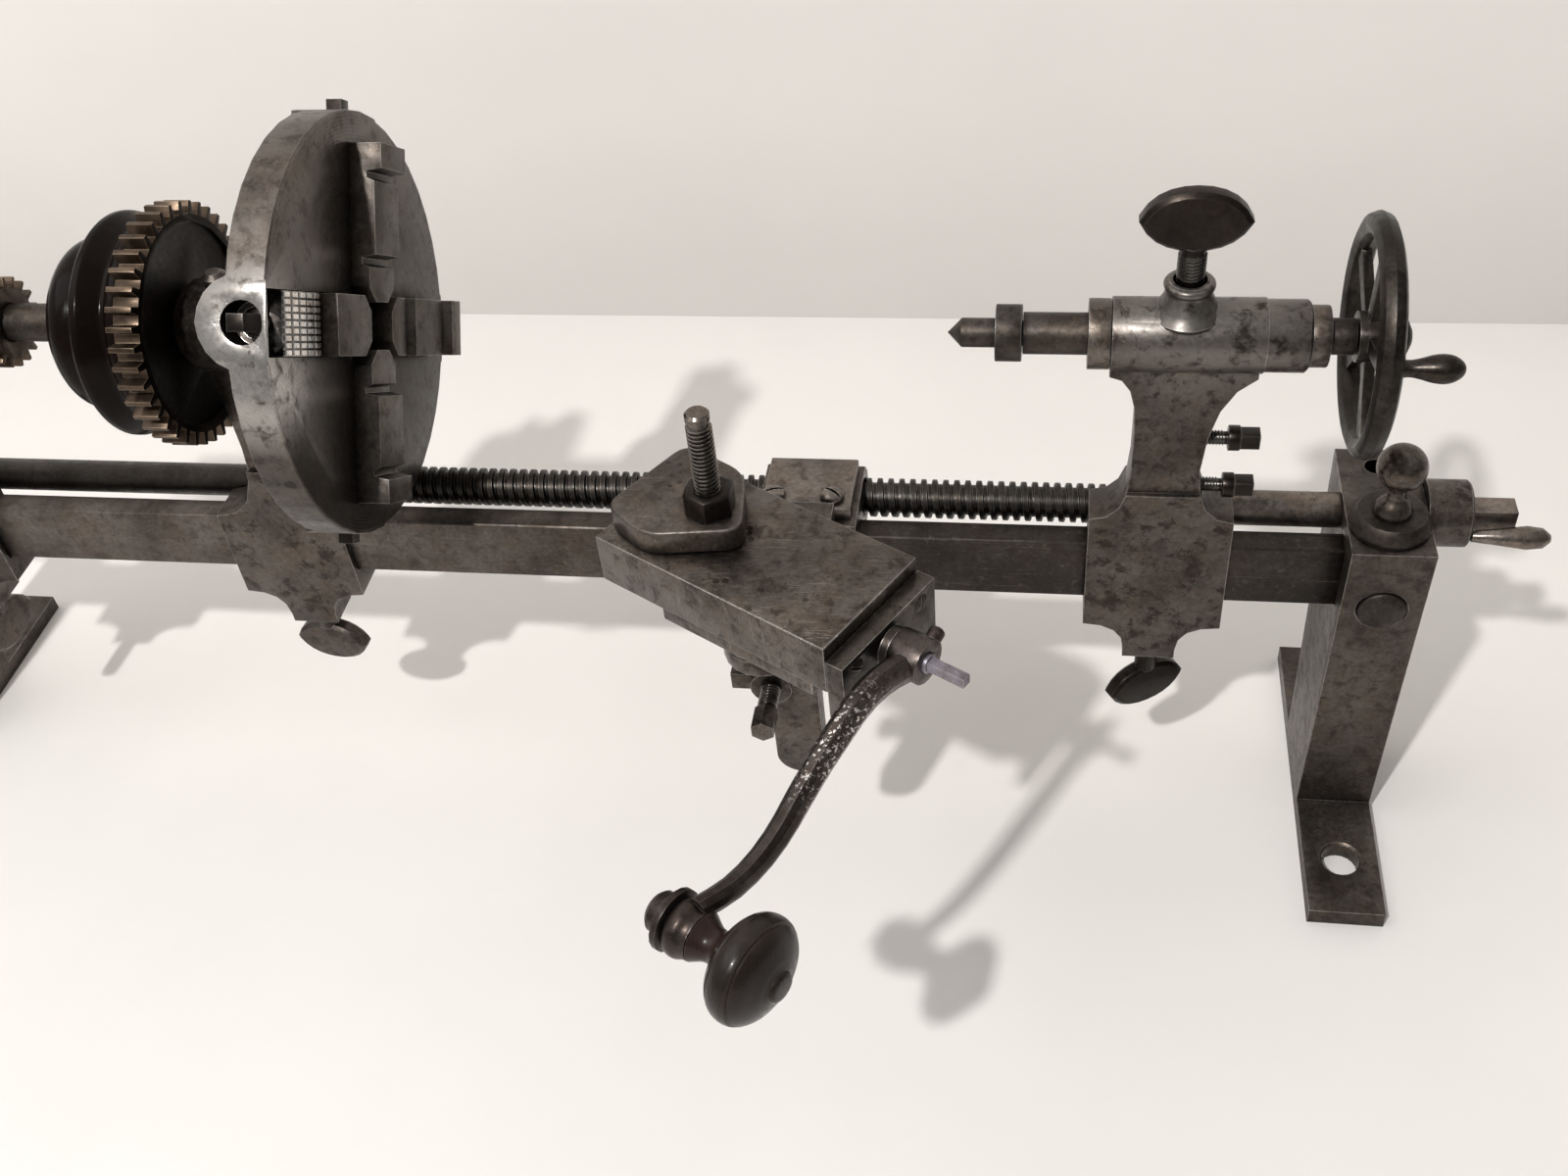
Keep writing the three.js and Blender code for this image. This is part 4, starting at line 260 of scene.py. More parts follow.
def aged_metal(name, plain, worn, roughness=0.36, spots=0.75, rubbed=0.22, pits=0.5, edge=0.6 * MM,
               edge_shares=(0.3, 0.85), metallic=0.9, grain=None, rings=None, polish=None, flecks=None,
               fade=None, scratches=(), dents=()):
    """Stained, pitted and handled metal with bright edges, and painted shade with grime in its corners.

    grain and rings are what stretched and rings take. fade is an axis, two places along it and a share of the
    tone at each. polish is a place, its reach and a share: a rubbed patch that is also a painted
    highlight. flecks are a place and its reach. scratches are turns, and dents are places with a reach and a
    depth.
    """
    r = Recipe(name)
    dark = (plain[0] * 0.36, plain[1] * 0.31, plain[2] * 0.29)
    brown = (plain[0] * 0.88, plain[1] * 0.79, plain[2] * 0.70)
    light = mix_tone(plain, 2.1)
    broad = r.noise(44.0, 4.0, 0.55)
    mottle = r.noise(165.0, 6.0, 0.68, distortion=0.3)
    fine = r.noise(560.0, 4.0, 0.65)
    grit = r.noise(1500.0, 2.0, 0.6)
    colour = r.mix(r.span(r.noise(95.0, 5.0, 0.7), 0.42, 0.62, 0.0, 0.75), plain, brown)
    tone = r.times(r.span(broad, 0.32, 0.68, 0.72, 1.26), r.span(fine, 0.3, 0.7, 0.80, 1.20))
    tone = r.times(tone, r.span(grit, 0.3, 0.7, 0.90, 1.10))
    corner_occlusion = r.occlusion_shade_and_grime(9 * MM)
    # Painted shade and grime: the tone is darkened in corners and recesses
    tone = r.times(tone, r.span(corner_occlusion, 0.30, 0.85, 0.38, 1.0))
    # A ramp of tone along one axis; on the bar and in the knurl's grooves it is painted shade
    if fade is not None:
        tone = r.times(tone, r.span(r.along(fade[0]), *fade[1:]))
    colour = r.scaled(colour, tone)
    colour = r.mix(r.times(r.span(mottle, 0.50, 0.36), spots), colour, dark)
    colour = r.mix(r.times(r.span(r.noise(330.0, 5.0, 0.72), 0.56, 0.74), rubbed), colour, light)
    pit = r.times(r.span(r.specks(420.0), 0.24, 0.06), r.span(mottle, 0.56, 0.44))
    pit = r.times(pit, pits)
    colour = r.mix(pit, colour, mix_tone(dark, 0.5))
    gloss = r.sum("ADD", r.span(fine, 0.3, 0.7, roughness - 0.05, roughness + 0.07),
                  r.span(mottle, 0.3, 0.6, 0.08, -0.03))
    relief = r.sum("ADD", r.times(grit, 0.35), r.times(fine, 0.9))
    if grain is not None:
        lines = r.noise(1.0, 4.0, 0.65, place=r.stretched(*grain))
        relief = r.sum("ADD", relief, r.times(lines, 1.1))
        colour = r.mix(r.span(lines, 0.60, 0.78, 0.0, 0.55), colour, light)
    for turn in scratches:
        lines = r.noise(1.0, 2.0, 0.5, place=r.stretched((110, 2600, 110), turn=(0, 0, turn)))
        lines = r.times(r.span(lines, 0.66, 0.71), r.span(mottle, 0.36, 0.52))
        relief = r.sum("SUBTRACT", relief, r.times(lines, 1.5))
        colour = r.mix(r.times(lines, 0.55), colour, light)
    if rings is not None:
        wave = r.rings(*rings)
        relief = r.sum("ADD", relief, r.times(wave, 0.8))
        colour = r.mix(r.span(wave, 0.55, 1.0, 0.0, 0.22), colour, light)
    edges = r.times(r.worn_edges(edge), r.span(r.noise(260.0, 4.0, 0.7), 0.34, 0.56, *edge_shares))
    # A rubbed patch that also paints a highlight near a place
    if polish is not None:
        place, reach, share = polish
        near = r.span(r.distance_to(place), reach, reach * 0.3, 0.0, share)
        near = r.times(near, r.span(corner_occlusion, 0.55, 0.9))
        edges = r.sum("MAXIMUM", edges, r.times(near, r.span(mottle, 0.30, 0.52)))
    if flecks is not None:
        place, reach = flecks
        near = r.span(r.distance_to(place), reach, reach * 0.35)
        bits = r.times(near, r.span(r.noise(700.0, 3.0, 0.75), 0.56, 0.61))
        edges = r.sum("MAXIMUM", edges, bits)
    colour = r.mix(edges, colour, worn)
    gloss = r.sum("SUBTRACT", gloss, r.times(edges, roughness * 0.3))
    relief = r.sum("SUBTRACT", relief, r.times(pit, 2.2))
    for place, reach, depth in dents:
        dent = r.span(r.distance_to(place), reach, reach * 0.55)
        relief = r.sum("SUBTRACT", relief, r.times(dent, depth))
        colour = r.mix(r.times(dent, 0.75), colour, mix_tone(dark, 0.7))
    r.link(colour, r.shader.inputs["Base Color"])
    r.link(gloss, r.shader.inputs["Roughness"])
    r.shader.inputs["Metallic"].default_value = metallic
    r.link(r.bump(relief, 0.4, 0.07 * MM), r.shader.inputs["Normal"])
    return r.material


def gear_bronze(name, bronze, bright, oil):
    """Oily bronze, bright along the rubbed teeth, with painted shade on the large gear's flank that faces +X.
    """
    r = Recipe(name)
    fine = r.noise(420.0, 4.0, 0.7)
    cloud = r.span(r.noise(120.0, 5.0, 0.65), 0.35, 0.65)
    colour = r.mix(cloud, mix_tone(bronze, 0.6), mix_tone(bronze, 1.25))
    around = r.stretched((0, 1, 1), centre=(0, 0, SPINDLE_HEIGHT))
    radius = r.add("VectorMath", {0: around}, operation="LENGTH")["Value"]
    beyond = r.span(r.along("X"), 140 * MM, 160 * MM)
    # Webs lie inside the teeth: one radius for each gear
    large_web, small_web, blend = 37.6 * MM, 13.6 * MM, 1 * MM
    web = r.times(r.span(radius, large_web, large_web - blend), beyond)
    small = r.times(r.span(radius, small_web, small_web - blend), r.sum("SUBTRACT", 1.0, beyond))
    # Painted shade with oil: the large gear's flank facing +X, away from the light, stays dark out to the
    # tips of its teeth
    facing = r.along("X", r.add("NewGeometry")["True Normal"])
    painted_flank_shade = r.times(r.span(facing, 0.3, 0.7, 0.0, 0.97), beyond)
    # inner holds the oily webs and the painted shade on the flank
    inner = r.sum("MAXIMUM", r.sum("ADD", web, r.times(small, 0.5)), painted_flank_shade)
    inner = r.times(r.sum("MINIMUM", inner, 1.0), r.span(fine, 0.1, 0.5, 0.9, 1.0))
    colour = r.mix(inner, colour, oil)
    edges = r.times(r.worn_edges(0.4 * MM), r.span(fine, 0.3, 0.55, 0.45, 1.0))
    colour = r.mix(r.times(edges, r.sum("SUBTRACT", 1.0, inner)), colour, bright)
    r.link(colour, r.shader.inputs["Base Color"])
    gloss = r.sum("ADD", r.span(fine, 0.3, 0.7, 0.30, 0.44), r.times(inner, 0.08))
    r.link(gloss, r.shader.inputs["Roughness"])
    r.shader.inputs["Metallic"].default_value = 0.9
    r.link(r.bump(fine, 0.3, 0.08 * MM), r.shader.inputs["Normal"])
    return r.material


def glossy_dark(name, base, rubbed, roughness, streak, coat, specular, tint=None):
    """Dark polished surface with faint turning streaks."""
    r = Recipe(name)
    streaks = r.noise(1.0, 4.0, 0.65, place=r.stretched(*streak))
    wear = r.noise(90.0, 6.0, 0.68)
    colour = r.mix(r.span(wear, 0.48, 0.72), base, rubbed)
    colour = r.mix(r.span(streaks, 0.6, 0.8, 0.0, 0.5), colour, mix_tone(rubbed, 1.6))
    if tint is not None:
        place, reach, hue = tint
        colour = r.mix(r.span(r.distance_to(place), reach, reach * 0.5), colour, hue)
    edges = r.times(r.worn_edges(0.5 * MM), 0.35)
    colour = r.mix(edges, colour, mix_tone(rubbed, 4.0))
    r.link(colour, r.shader.inputs["Base Color"])
    gloss = r.sum("ADD", r.span(wear, 0.3, 0.7, roughness, roughness + 0.10),
                  r.span(streaks, 0.3, 0.7, 0.0, 0.06))
    r.link(gloss, r.shader.inputs["Roughness"])
    r.shader.inputs["Specular IOR Level"].default_value = specular
    r.shader.inputs["Coat Weight"].default_value = coat
    r.shader.inputs["Coat Roughness"].default_value = 0.08
    r.link(r.bump(streaks, 0.2, 0.05 * MM), r.shader.inputs["Normal"])
    return r.material


FINISHES = {}


class LATHE_OT_finishes(Operator):
    """Mix every finish of the machine once."""

    bl_idname = "lathe.finishes"
    bl_label = "Finishes"

    def execute(self, context):
        colours = context.scene.lathe_colours
        ear = (254 * MM, -64 * MM, SPINDLE_HEIGHT + 30 * MM)
        barrel = (541 * MM, -8 * MM, 234 * MM)
        rim_dent = (256.6 * MM, -70.4 * MM, 207.7 * MM)
        plate_top, slide_top = 202.8, 194
        punched = [(slide_place(*spot, plate_top), 0.95 * MM, 9.0) for spot in PUNCH_MARKS]
        dented = [(slide_place(*spot, slide_top), 1.3 * MM, 9.0) for spot in SLIDE_DENTS]

        def aged(name, tone, wear=1.0, base="steel", **settings):
            """One aged finish from shares of a base colour and of the worn edges' colour."""
            plain, worn = mix_tone(getattr(colours, base), tone), mix_tone(colours.steel_worn, wear)
            FINISHES[name] = aged_metal(name + "_steel", plain, worn, **settings)

        # Painted shade: the bar darkens towards its right end
        aged("bar", 1.08, roughness=0.4, spots=0.4, rubbed=0.3, grain=((25, 1300, 1300),),
             fade=("X", 0.22, 0.47, 1.0, 0.42))
        aged("leg", 0.88, roughness=0.4, spots=0.6)
        aged("barrel", 1.35, roughness=0.4, pits=0.7, spots=0.8, rubbed=0.4)
        # Painted highlight with rubbing: a bright patch on the front of the barrel
        aged("poppet", 0.88, roughness=0.4, pits=0.7, spots=0.9, rubbed=0.3, polish=(barrel, 46 * MM, 0.2))
        aged("body", 0.95, pits=0.7, spots=0.9, rubbed=0.3)
        aged("shaft", 0.66, roughness=0.48, spots=0.6)
        aged("thread", 0.42, 0.55, roughness=0.4, edge=0.35 * MM, spots=0.4,
             fade=("X", 0.545, 0.555, 1.0, 4.8))
        aged("stud", 1.35, 1.1, roughness=0.24, edge=0.3 * MM, edge_shares=(0.5, 0.65), spots=0.15, pits=0.1,
             rubbed=0.1)
        # Polished ear with a painted highlight spread over it and up the rim
        aged("chuck", 1.0, pits=0.6, spots=0.7, edge=0.7 * MM, rings=("X", (0, 0, SPINDLE_HEIGHT), 260.0),
             polish=(ear, 36 * MM, 0.85), fade=("Z", 0.18, 0.265, 0.4, 1.0),
             dents=[(rim_dent, 2.6 * MM, 14.0)])
        aged("jaw", 0.95, roughness=0.45, spots=0.6, edge=0.5 * MM)
        # Painted shade: the grooves between the crowned squares are darkened
        aged("knurl", 1.0, 1.9, "knurl", roughness=0.3, spots=0.3, edge=0.3 * MM,
             fade=("X", 260.35 * MM, 260.8 * MM, 0.06, 1.0))
        aged("clamp_plate", 1.05, 1.3, roughness=0.38, spots=0.5, rubbed=0.35, edge=1.0 * MM,
             edge_shares=(0.8, 1.0), scratches=(0.4,), dents=punched)
        aged("slide", 1.12, 1.1, spots=0.8, pits=0.8, rubbed=0.35, edge=0.8 * MM, edge_shares=(0.65, 1.0),
             scratches=(0.25, 1.05, -0.8), dents=dented)
        aged("bright", 1.6, roughness=0.4, spots=0.6, rubbed=0.4)
        aged("polished", 2.0, 1.1, roughness=0.26, spots=0.5, edge=0.5 * MM)
        aged("wheel", 0.36, 0.4, roughness=0.38, spots=0.7)
        aged("black", 1.0, 0.4, "black_steel", roughness=0.34, metallic=0.8, spots=0.5, edge=0.8 * MM,
             edge_shares=(0.4, 0.7))
        aged("handle", 0.5, 0.5, roughness=0.3, spots=0.8, rubbed=0.4)
        aged("ball", 0.95, 0.7, roughness=0.28, spots=0.8, rubbed=0.4)
        aged("crank", 1.0, 1.7, "crank", spots=0.7, pits=0.8, edge=0.3 * MM, edge_shares=(0.1, 0.3),
             fade=("X", 0.415, 0.45, 0.5, 1.0), flecks=(slide_place(17, -36, 172), 27 * MM))
        aged("square_end", 1.0, 1.0, "square_end", roughness=0.45, metallic=0.7, spots=0.4)
        FINISHES["bronze"] = gear_bronze("gear_bronze", colours.bronze, colours.bronze_worn, colours.oil)
        FINISHES["pulley"] = glossy_dark(
            "pulley_black", colours.pulley, mix_tone(colours.pulley, 1.8), roughness=0.11,
            streak=((1500, 60, 60),), coat=0.03, specular=0.065,
        )
        FINISHES["knob"] = glossy_dark(
            "knob_polish", colours.knob, mix_tone(colours.knob, 1.7), roughness=0.22,
            streak=((1200, 60, 60), (0, 0, SPINDLE_HEIGHT), (0, 0, -SLIDE_TURN)), coat=0.08, specular=0.19,
            tint=(knob_place(16), 13 * MM, (0.021, 0.010, 0.008)),
        )
        return {"FINISHED"}


def edit():
    """Opens the active mesh for editing."""
    bpy.ops.object.mode_set(mode="EDIT")


def leave_edit():
    """Closes the edited mesh."""
    bpy.ops.object.mode_set(mode="OBJECT")


def select_whole():
    """Selects the whole edited mesh."""
    bpy.ops.mesh.select_all(action="SELECT")


def select_open_edges():
    """Selects only the edges around the open sides of the edited mesh."""
    bpy.ops.mesh.select_mode(type="EDGE")
    bpy.ops.mesh.select_all(action="DESELECT")
    bpy.ops.mesh.select_non_manifold()


def face_outwards():
    """Turns every face of the edited mesh outwards."""
    select_whole()
    bpy.ops.mesh.normals_make_consistent(inside=False)
    bpy.ops.mesh.select_mode(type="VERT")


def deselect_all():
    """Leaves edit mode and clears the selection."""
    if bpy.context.mode != "OBJECT":
        leave_edit()
    bpy.ops.object.select_all(action="DESELECT")


def make_active(piece):
    """Selects one piece alone."""
    deselect_all()
    piece.select_set(True)
    bpy.context.view_layer.objects.active = piece


def apply_modifier(piece, kind, **settings):
    """Adds a modifier, sets it and applies it."""
    make_active(piece)
    modifier = piece.modifiers.new(kind.title(), kind)
    for key, value in settings.items():
        setattr(modifier, key, value)
    bpy.ops.object.modifier_apply(modifier=modifier.name)


def round_edges(piece, width, segments=2, angle=32):
    """Breaks the sharp edges."""
    apply_modifier(
        piece, "BEVEL", width=width, segments=segments, limit_method="ANGLE",
        angle_limit=math.radians(angle), use_clamp_overlap=True, harden_normals=False,
    )


def smooth(piece, angle=34):
    """Smooth shading across the rounded faces only."""
    make_active(piece)
    bpy.ops.object.shade_smooth_by_angle(angle=math.radians(angle))


def finish_piece(piece, node, finish):
    """Gives a piece its finish and lets it ride in place of its CAD node."""
    piece.data.materials.clear()
    piece.data.materials.append(FINISHES[finish])
    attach(piece, frame["nodes"][node]["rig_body"])
    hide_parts(node)
    return piece


def merged_copy(node):
    """A clean copy of a CAD node: welded, with its flat faces whole again."""
    make_active(frame["nodes"][node])
    bpy.ops.object.duplicate()
    piece = bpy.context.view_layer.objects.active
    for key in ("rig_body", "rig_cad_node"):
        del piece[key]
    piece.parent = None
    piece.matrix_world = Matrix.Identity(4)
    piece.name = node + "_finished"
    bpy.ops.mesh.customdata_custom_splitnormals_clear()
    edit()
    select_whole()
    bpy.ops.mesh.remove_doubles(threshold=0.00001)
    bpy.ops.mesh.dissolve_limited(angle_limit=math.radians(0.4))
    leave_edit()
    return piece


def dress(node, finish, edge, angle=32, segments=2):
    """Finished copy of a CAD node with broken edges."""
    piece = merged_copy(node)
    if edge:
        round_edges(piece, edge, segments, angle)
    smooth(piece)
    return finish_piece(piece, node, finish)


def profile_chain(name, points):
    """A chain of edges in the XZ plane, extruded point by point."""
    deselect_all()
    bpy.ops.mesh.primitive_plane_add(size=1 * MM)
    piece = bpy.context.object
    piece.name = name
    edit()
    select_whole()
    bpy.ops.mesh.merge(type="CENTER")
    before = (0.0, 0.0)
    for number, (radius, along) in enumerate(points):
        step = (radius - before[0], 0, along - before[1])
        if number == 0:
            bpy.ops.transform.translate(value=step)
        else:
            bpy.ops.mesh.extrude_region_move(TRANSFORM_OT_translate={"value": step})
        before = (radius, along)
    return piece


def place_mesh(piece, origin, axis, spin=0.0):
    """Spins about local +Z, turns that to the axis, moves to the origin and applies it all."""
    leave_edit()
    make_active(piece)
    turn = Vector(UP).rotation_difference(Vector(axis)).to_matrix().to_4x4()
    piece.matrix_world = Matrix.Translation(Vector(origin)) @ turn @ Matrix.Rotation(spin, 4, "Z")
    bpy.ops.object.transform_apply(location=True, rotation=True, scale=True)


def turned_piece(name, origin, axis, profile, sides):
    """Turned piece from (along, radius) points in millimetres along the axis."""
    piece = profile_chain(name, [(radius * MM, along * MM) for along, radius in profile])
    select_whole()
    bpy.ops.mesh.spin(steps=sides, angle=2 * math.pi, center=(0, 0, 0), axis=UP)
    select_whole()
    bpy.ops.mesh.remove_doubles(threshold=0.000002)
    face_outwards()
    place_mesh(piece, origin, axis)
    return piece


def turned_finish(node, finish, origin, axis, profile, sides):
    """A turned piece that takes the place of its CAD node."""
    piece = turned_piece(node + "_finished", origin, axis, profile, sides)
    smooth(piece)
    return finish_piece(piece, node, finish)


def curved(points, steps):
    """Smooth run through (along, radius) points."""
    run = []
    for i in range(len(points) - 1):
        before = points[max(i - 1, 0)]
        start, end = points[i], points[i + 1]
        after = points[min(i + 2, len(points) - 1)]
        for step in range(steps):
            t = step / steps
            run.append(tuple(
                0.5 * (2 * b + (c - a) * t + (2 * a - 5 * b + 4 * c - d) * t * t
                       + (3 * b - a - 3 * c + d) * t ** 3)
                for a, b, c, d in zip(before, start, end, after)
            ))
    run.append(points[-1])
    return [(along, max(radius, 0.0)) for along, radius in run]


def grooved(run, places, depth, width):
    """Fine turned grooves cut into a run of (along, radius) points."""
    cut = [point for point in run if all(abs(point[0] - place) > width for place in places)]
    for place in places:
        before, after = next((a, b) for a, b in zip(run, run[1:]) if a[0] <= place < b[0])
        share = (place - before[0]) / (after[0] - before[0])
        radius = before[1] + (after[1] - before[1]) * share
        slope = (after[1] - before[1]) / (after[0] - before[0])
        cut += [(place - width, radius - slope * width), (place - width / 4, radius - depth),
                (place + width / 4, radius - depth), (place + width, radius + slope * width)]
    return sorted(cut)


def thread_ridge(name, origin, axis, length, core, crest, pitch, steps, flat_share=0.24):
    """Helical ridge standing on a core, closed at both ends; its flat crest is a share of the pitch."""
    # Its foot reaches into the core and takes a share of the pitch
    sunk, rounding, foot_share = 0.35, 0.2, 0.64
    root = core - sunk
    turns = max(1, int((length - pitch) / pitch))
    slope = (foot_share - flat_share) / 2
    shoulder = slope * 0.75
    loop = [(root, 0.0), (crest - rounding, pitch * shoulder), (crest, pitch * slope),
            (crest, pitch * (slope + flat_share)), (crest - rounding, pitch * (foot_share - shoulder)),
            (root, pitch * foot_share)]
    piece = profile_chain(name, [(radius * MM, along * MM) for radius, along in loop])
    select_whole()
    bpy.ops.mesh.edge_face_add()
    bpy.ops.mesh.delete(type="ONLY_FACE")
    leave_edit()
    apply_modifier(piece, "SCREW", axis="Z", angle=2 * math.pi, screw_offset=pitch * MM, iterations=turns,
                   steps=steps, render_steps=steps, use_merge_vertices=True, merge_threshold=0.000001)
    edit()
    select_open_edges()
    bpy.ops.mesh.fill_holes(sides=8)
    face_outwards()
    place_mesh(piece, origin, axis)
    return piece


def join(pieces):
    """Joins pieces into the first."""
    make_active(pieces[0])
    for piece in pieces[1:]:
        piece.select_set(True)
    bpy.ops.object.join()
    return pieces[0]


def grow(piece, *parts):
    """Joins further parts to a finished piece, in its own finish."""
    for part in parts:
        part.data.materials.append(piece.data.materials[0])
    smooth(join([piece, *parts]))


def domed_screws(heads, axis, shank, radius, height, slot, finish):
    """Domed screws, slotted or plain, one modelled and copied to each (node, seat, spin)."""
    dome = [(height * (0.3 + 0.7 * math.sin(t * math.pi / 16)), radius * math.cos(t * math.pi / 16))
            for t in range(1, 8)]
    profile = [(-shank, 0), (-shank, radius * 0.5), (0, radius * 0.5), (0, radius - 0.15), (0.15, radius),
               (height * 0.3, radius)] + dome + [(height, 0)]
    model = turned_piece("screw_model", (0, 0, 0), UP, profile, 40)
    if slot:
        deselect_all()
        bpy.ops.mesh.primitive_cube_add(size=1 * MM, location=(0, 0, height * MM))
        cutter = bpy.context.object
        cutter.scale = (radius * 3, slot, height * 0.9)
        bpy.ops.object.transform_apply(location=True, rotation=True, scale=True)
        apply_modifier(model, "BOOLEAN", operation="DIFFERENCE", solver="EXACT", object=cutter)
        bpy.data.objects.remove(cutter)
    for node, seat, spin in heads:
        make_active(model)
        bpy.ops.object.duplicate()
        piece = bpy.context.object
        piece.name = node + "_finished"
        place_mesh(piece, Vector(seat) * MM, axis, math.radians(spin))
        smooth(piece, 40)
        finish_piece(piece, node, finish)
    bpy.data.objects.remove(model)


def add_thread(piece, origin, axis, length, core, crest, pitch):
    """Cuts a screw thread on a plain stem of a finished piece."""
    grow(piece, thread_ridge("thread", Vector(origin) * MM, axis, length, core, crest, pitch, 24))


def slide_place(along, across, height):
    """A place on the turned slide rest, in millimetres from its right end."""
    turn = Matrix.Rotation(SLIDE_TURN, 3, "Z")
    return (turn @ Vector((along, across, 0)) + Vector((*SLIDE_END, height))) * MM


def knob_place(along):
    """A place on the crank knob's axis."""
    return slide_place(along, -CRANK_REACH, FEED_HEIGHT - CRANK_DROP)


class LATHE_OT_bed(Operator):
    """Finish the bed bar and the two footed legs."""

    bl_idname = "lathe.bed"
    bl_label = "Bed and legs"

    def execute(self, context):
        sizes = context.scene.lathe_sizes
        dress("bed_bar", "bar", sizes.fine_edge)
        for node in ("left_leg", "right_leg"):
            dress(node, "leg", sizes.edge)
        leg_front, screw_height = -13.44, 117
        heads = []
        for node in ("left_leg_screw", "right_leg_screw"):
            low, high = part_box(node)
            heads.append((node, ((low.x + high.x) / 2 / MM, leg_front, screw_height), 0))
        domed_screws(heads, FRONT, shank=7, radius=8.0, height=3.2, slot=0, finish="shaft")
        return {"FINISHED"}


class LATHE_OT_lock(Operator):
    """Finish the collar and ball-headed knob on the right leg."""

    bl_idname = "lathe.lock"
    bl_label = "Lock knob"

    def execute(self, context):
        dress("lock_collar", "shaft", context.scene.lathe_sizes.fine_edge)
        low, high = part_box("lock_knob")
        leg_top, gap, collar = 143.5, 0.3, 6.2
        seat = leg_top + gap + collar + gap
        stem_end = low.z / MM - seat
        neck_height, neck, ball = 10.9, 3.4, 8.2
        profile = [(stem_end, 0), (stem_end, 4), (0, 4), (0, 6.5)]
        profile += curved([(0.6, 6.5), (3.4, 5.4), (6, 3.5), (8.6, 3.1), (neck_height, neck)], 4)
        centre = neck_height + math.sqrt(ball ** 2 - neck ** 2)
        start, steps = math.asin(neck / ball), 24
        for step in range(1, steps):
            angle = start + (math.pi - start) * step / steps
            profile.append((centre - ball * math.cos(angle), ball * math.sin(angle)))
        profile.append((centre + ball, 0))
        turned_finish("lock_knob", "ball", ((low.x + high.x) / 2, 0, seat * MM), UP, profile, 64)
        return {"FINISHED"}


class LATHE_OT_lead_screw(Operator):
    """Cut the thread of the lead screw and finish its hub and handle pin."""

    bl_idname = "lathe.lead_screw"
    bl_label = "Lead screw"

    def execute(self, context):
        sizes = context.scene.lathe_sizes
        core = merged_copy("lead_screw")
        round_edges(core, sizes.fine_edge)
        # The thread stands on a waist turned into the plain rod
        start, end, run_out, slack = 236, 544, 0.6, 0.1
        rod_radius, core_radius, crest_radius = 7.1, 5.5, 7.1
        axis_y, axis_z = 16 * MM, 136 * MM
        edit()
        for x in (start, end):
            select_whole()
            bpy.ops.mesh.bisect(plane_co=(x * MM, 0, 0), plane_no=RIGHT)
        bpy.ops.mesh.select_all(action="DESELECT")
        leave_edit()
        mesh = core.data
        for vertex in mesh.vertices:
            vertex.select = (start - slack) * MM < vertex.co.x < (end + slack) * MM
        for part in (*mesh.edges, *mesh.polygons):
            part.select = all(mesh.vertices[i].select for i in part.vertices)
        edit()
        bpy.ops.mesh.extrude_region_move(TRANSFORM_OT_translate={"value": (0, 0, 0)})
        waist_share = core_radius / rod_radius
        middle = ((start + end) / 2 * MM, axis_y, axis_z)
        bpy.ops.transform.resize(value=(1, waist_share, waist_share), center_override=middle)
        leave_edit()
        ridge = thread_ridge("lead_thread", ((start + run_out) * MM, axis_y, axis_z), RIGHT,
                             end - start - run_out, core_radius, crest_radius, sizes.lead_pitch / MM, 28,
                             flat_share=0.42)
        grow(finish_piece(core, "lead_screw", "thread"), ridge)
        dress("lead_screw_hub", "body", 0)
        dress("lead_screw_pin", "polished", sizes.fine_edge)
        return {"FINISHED"}


class LATHE_OT_headstock(Operator):
    """Finish the two headstock poppets and the oil cap."""

    bl_idname = "lathe.headstock"
    bl_label = "Headstock"

    def execute(self, context):
        edge = context.scene.lathe_sizes.edge
        dress("head_front_poppet", "body", edge)
        dress("head_rear_poppet", "body", edge)
        dress("head_oil_cap", "body", 0)
        return {"FINISHED"}


class LATHE_OT_spindle(Operator):
    """Finish the spindle and its two bronze gears."""

    bl_idname = "lathe.spindle"
    bl_label = "Spindle and gears"

    def execute(self, context):
        fine = context.scene.lathe_sizes.fine_edge
        dress("spindle", "shaft", fine)
        dress("small_gear", "bronze", fine, angle=20)
        dress("bull_gear", "bronze", fine, angle=20)
        return {"FINISHED"}


class LATHE_OT_pulley(Operator):
    """Turn the two-stepped cone pulley."""

    bl_idname = "lathe.pulley"
    bl_label = "Cone pulley"

    def execute(self, context):
        low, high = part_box("cone_pulley")
        length, bore = (high.x - low.x) / MM, 7.0
        outer_shares = [
            (0.0, 20.5), (0.025, 22.5), (0.06, 25.4), (0.15, 28.6), (0.24, 29.9), (0.32, 30.0), (0.38, 29.7),
            (0.42, 29.6), (0.46, 31.4), (0.5, 34.8), (0.535, 37.3), (0.57, 38.6), (0.61, 38.8), (0.65, 38.5),
            (0.74, 36.4), (0.8, 34.9), (0.835, 34.6), (0.87, 34.9), (0.91, 36.6), (0.95, 37.5), (1.0, 37.5),
        ]
        outer = curved([(share * length, radius) for share, radius in outer_shares], 4)
        profile = [(0, bore)] + outer + [(length, bore), (0, bore)]
        sides = context.scene.lathe_sizes.round_sides
        turned_finish("cone_pulley", "pulley", (low.x, 0, SPINDLE_HEIGHT), RIGHT, profile, sides)
        return {"FINISHED"}


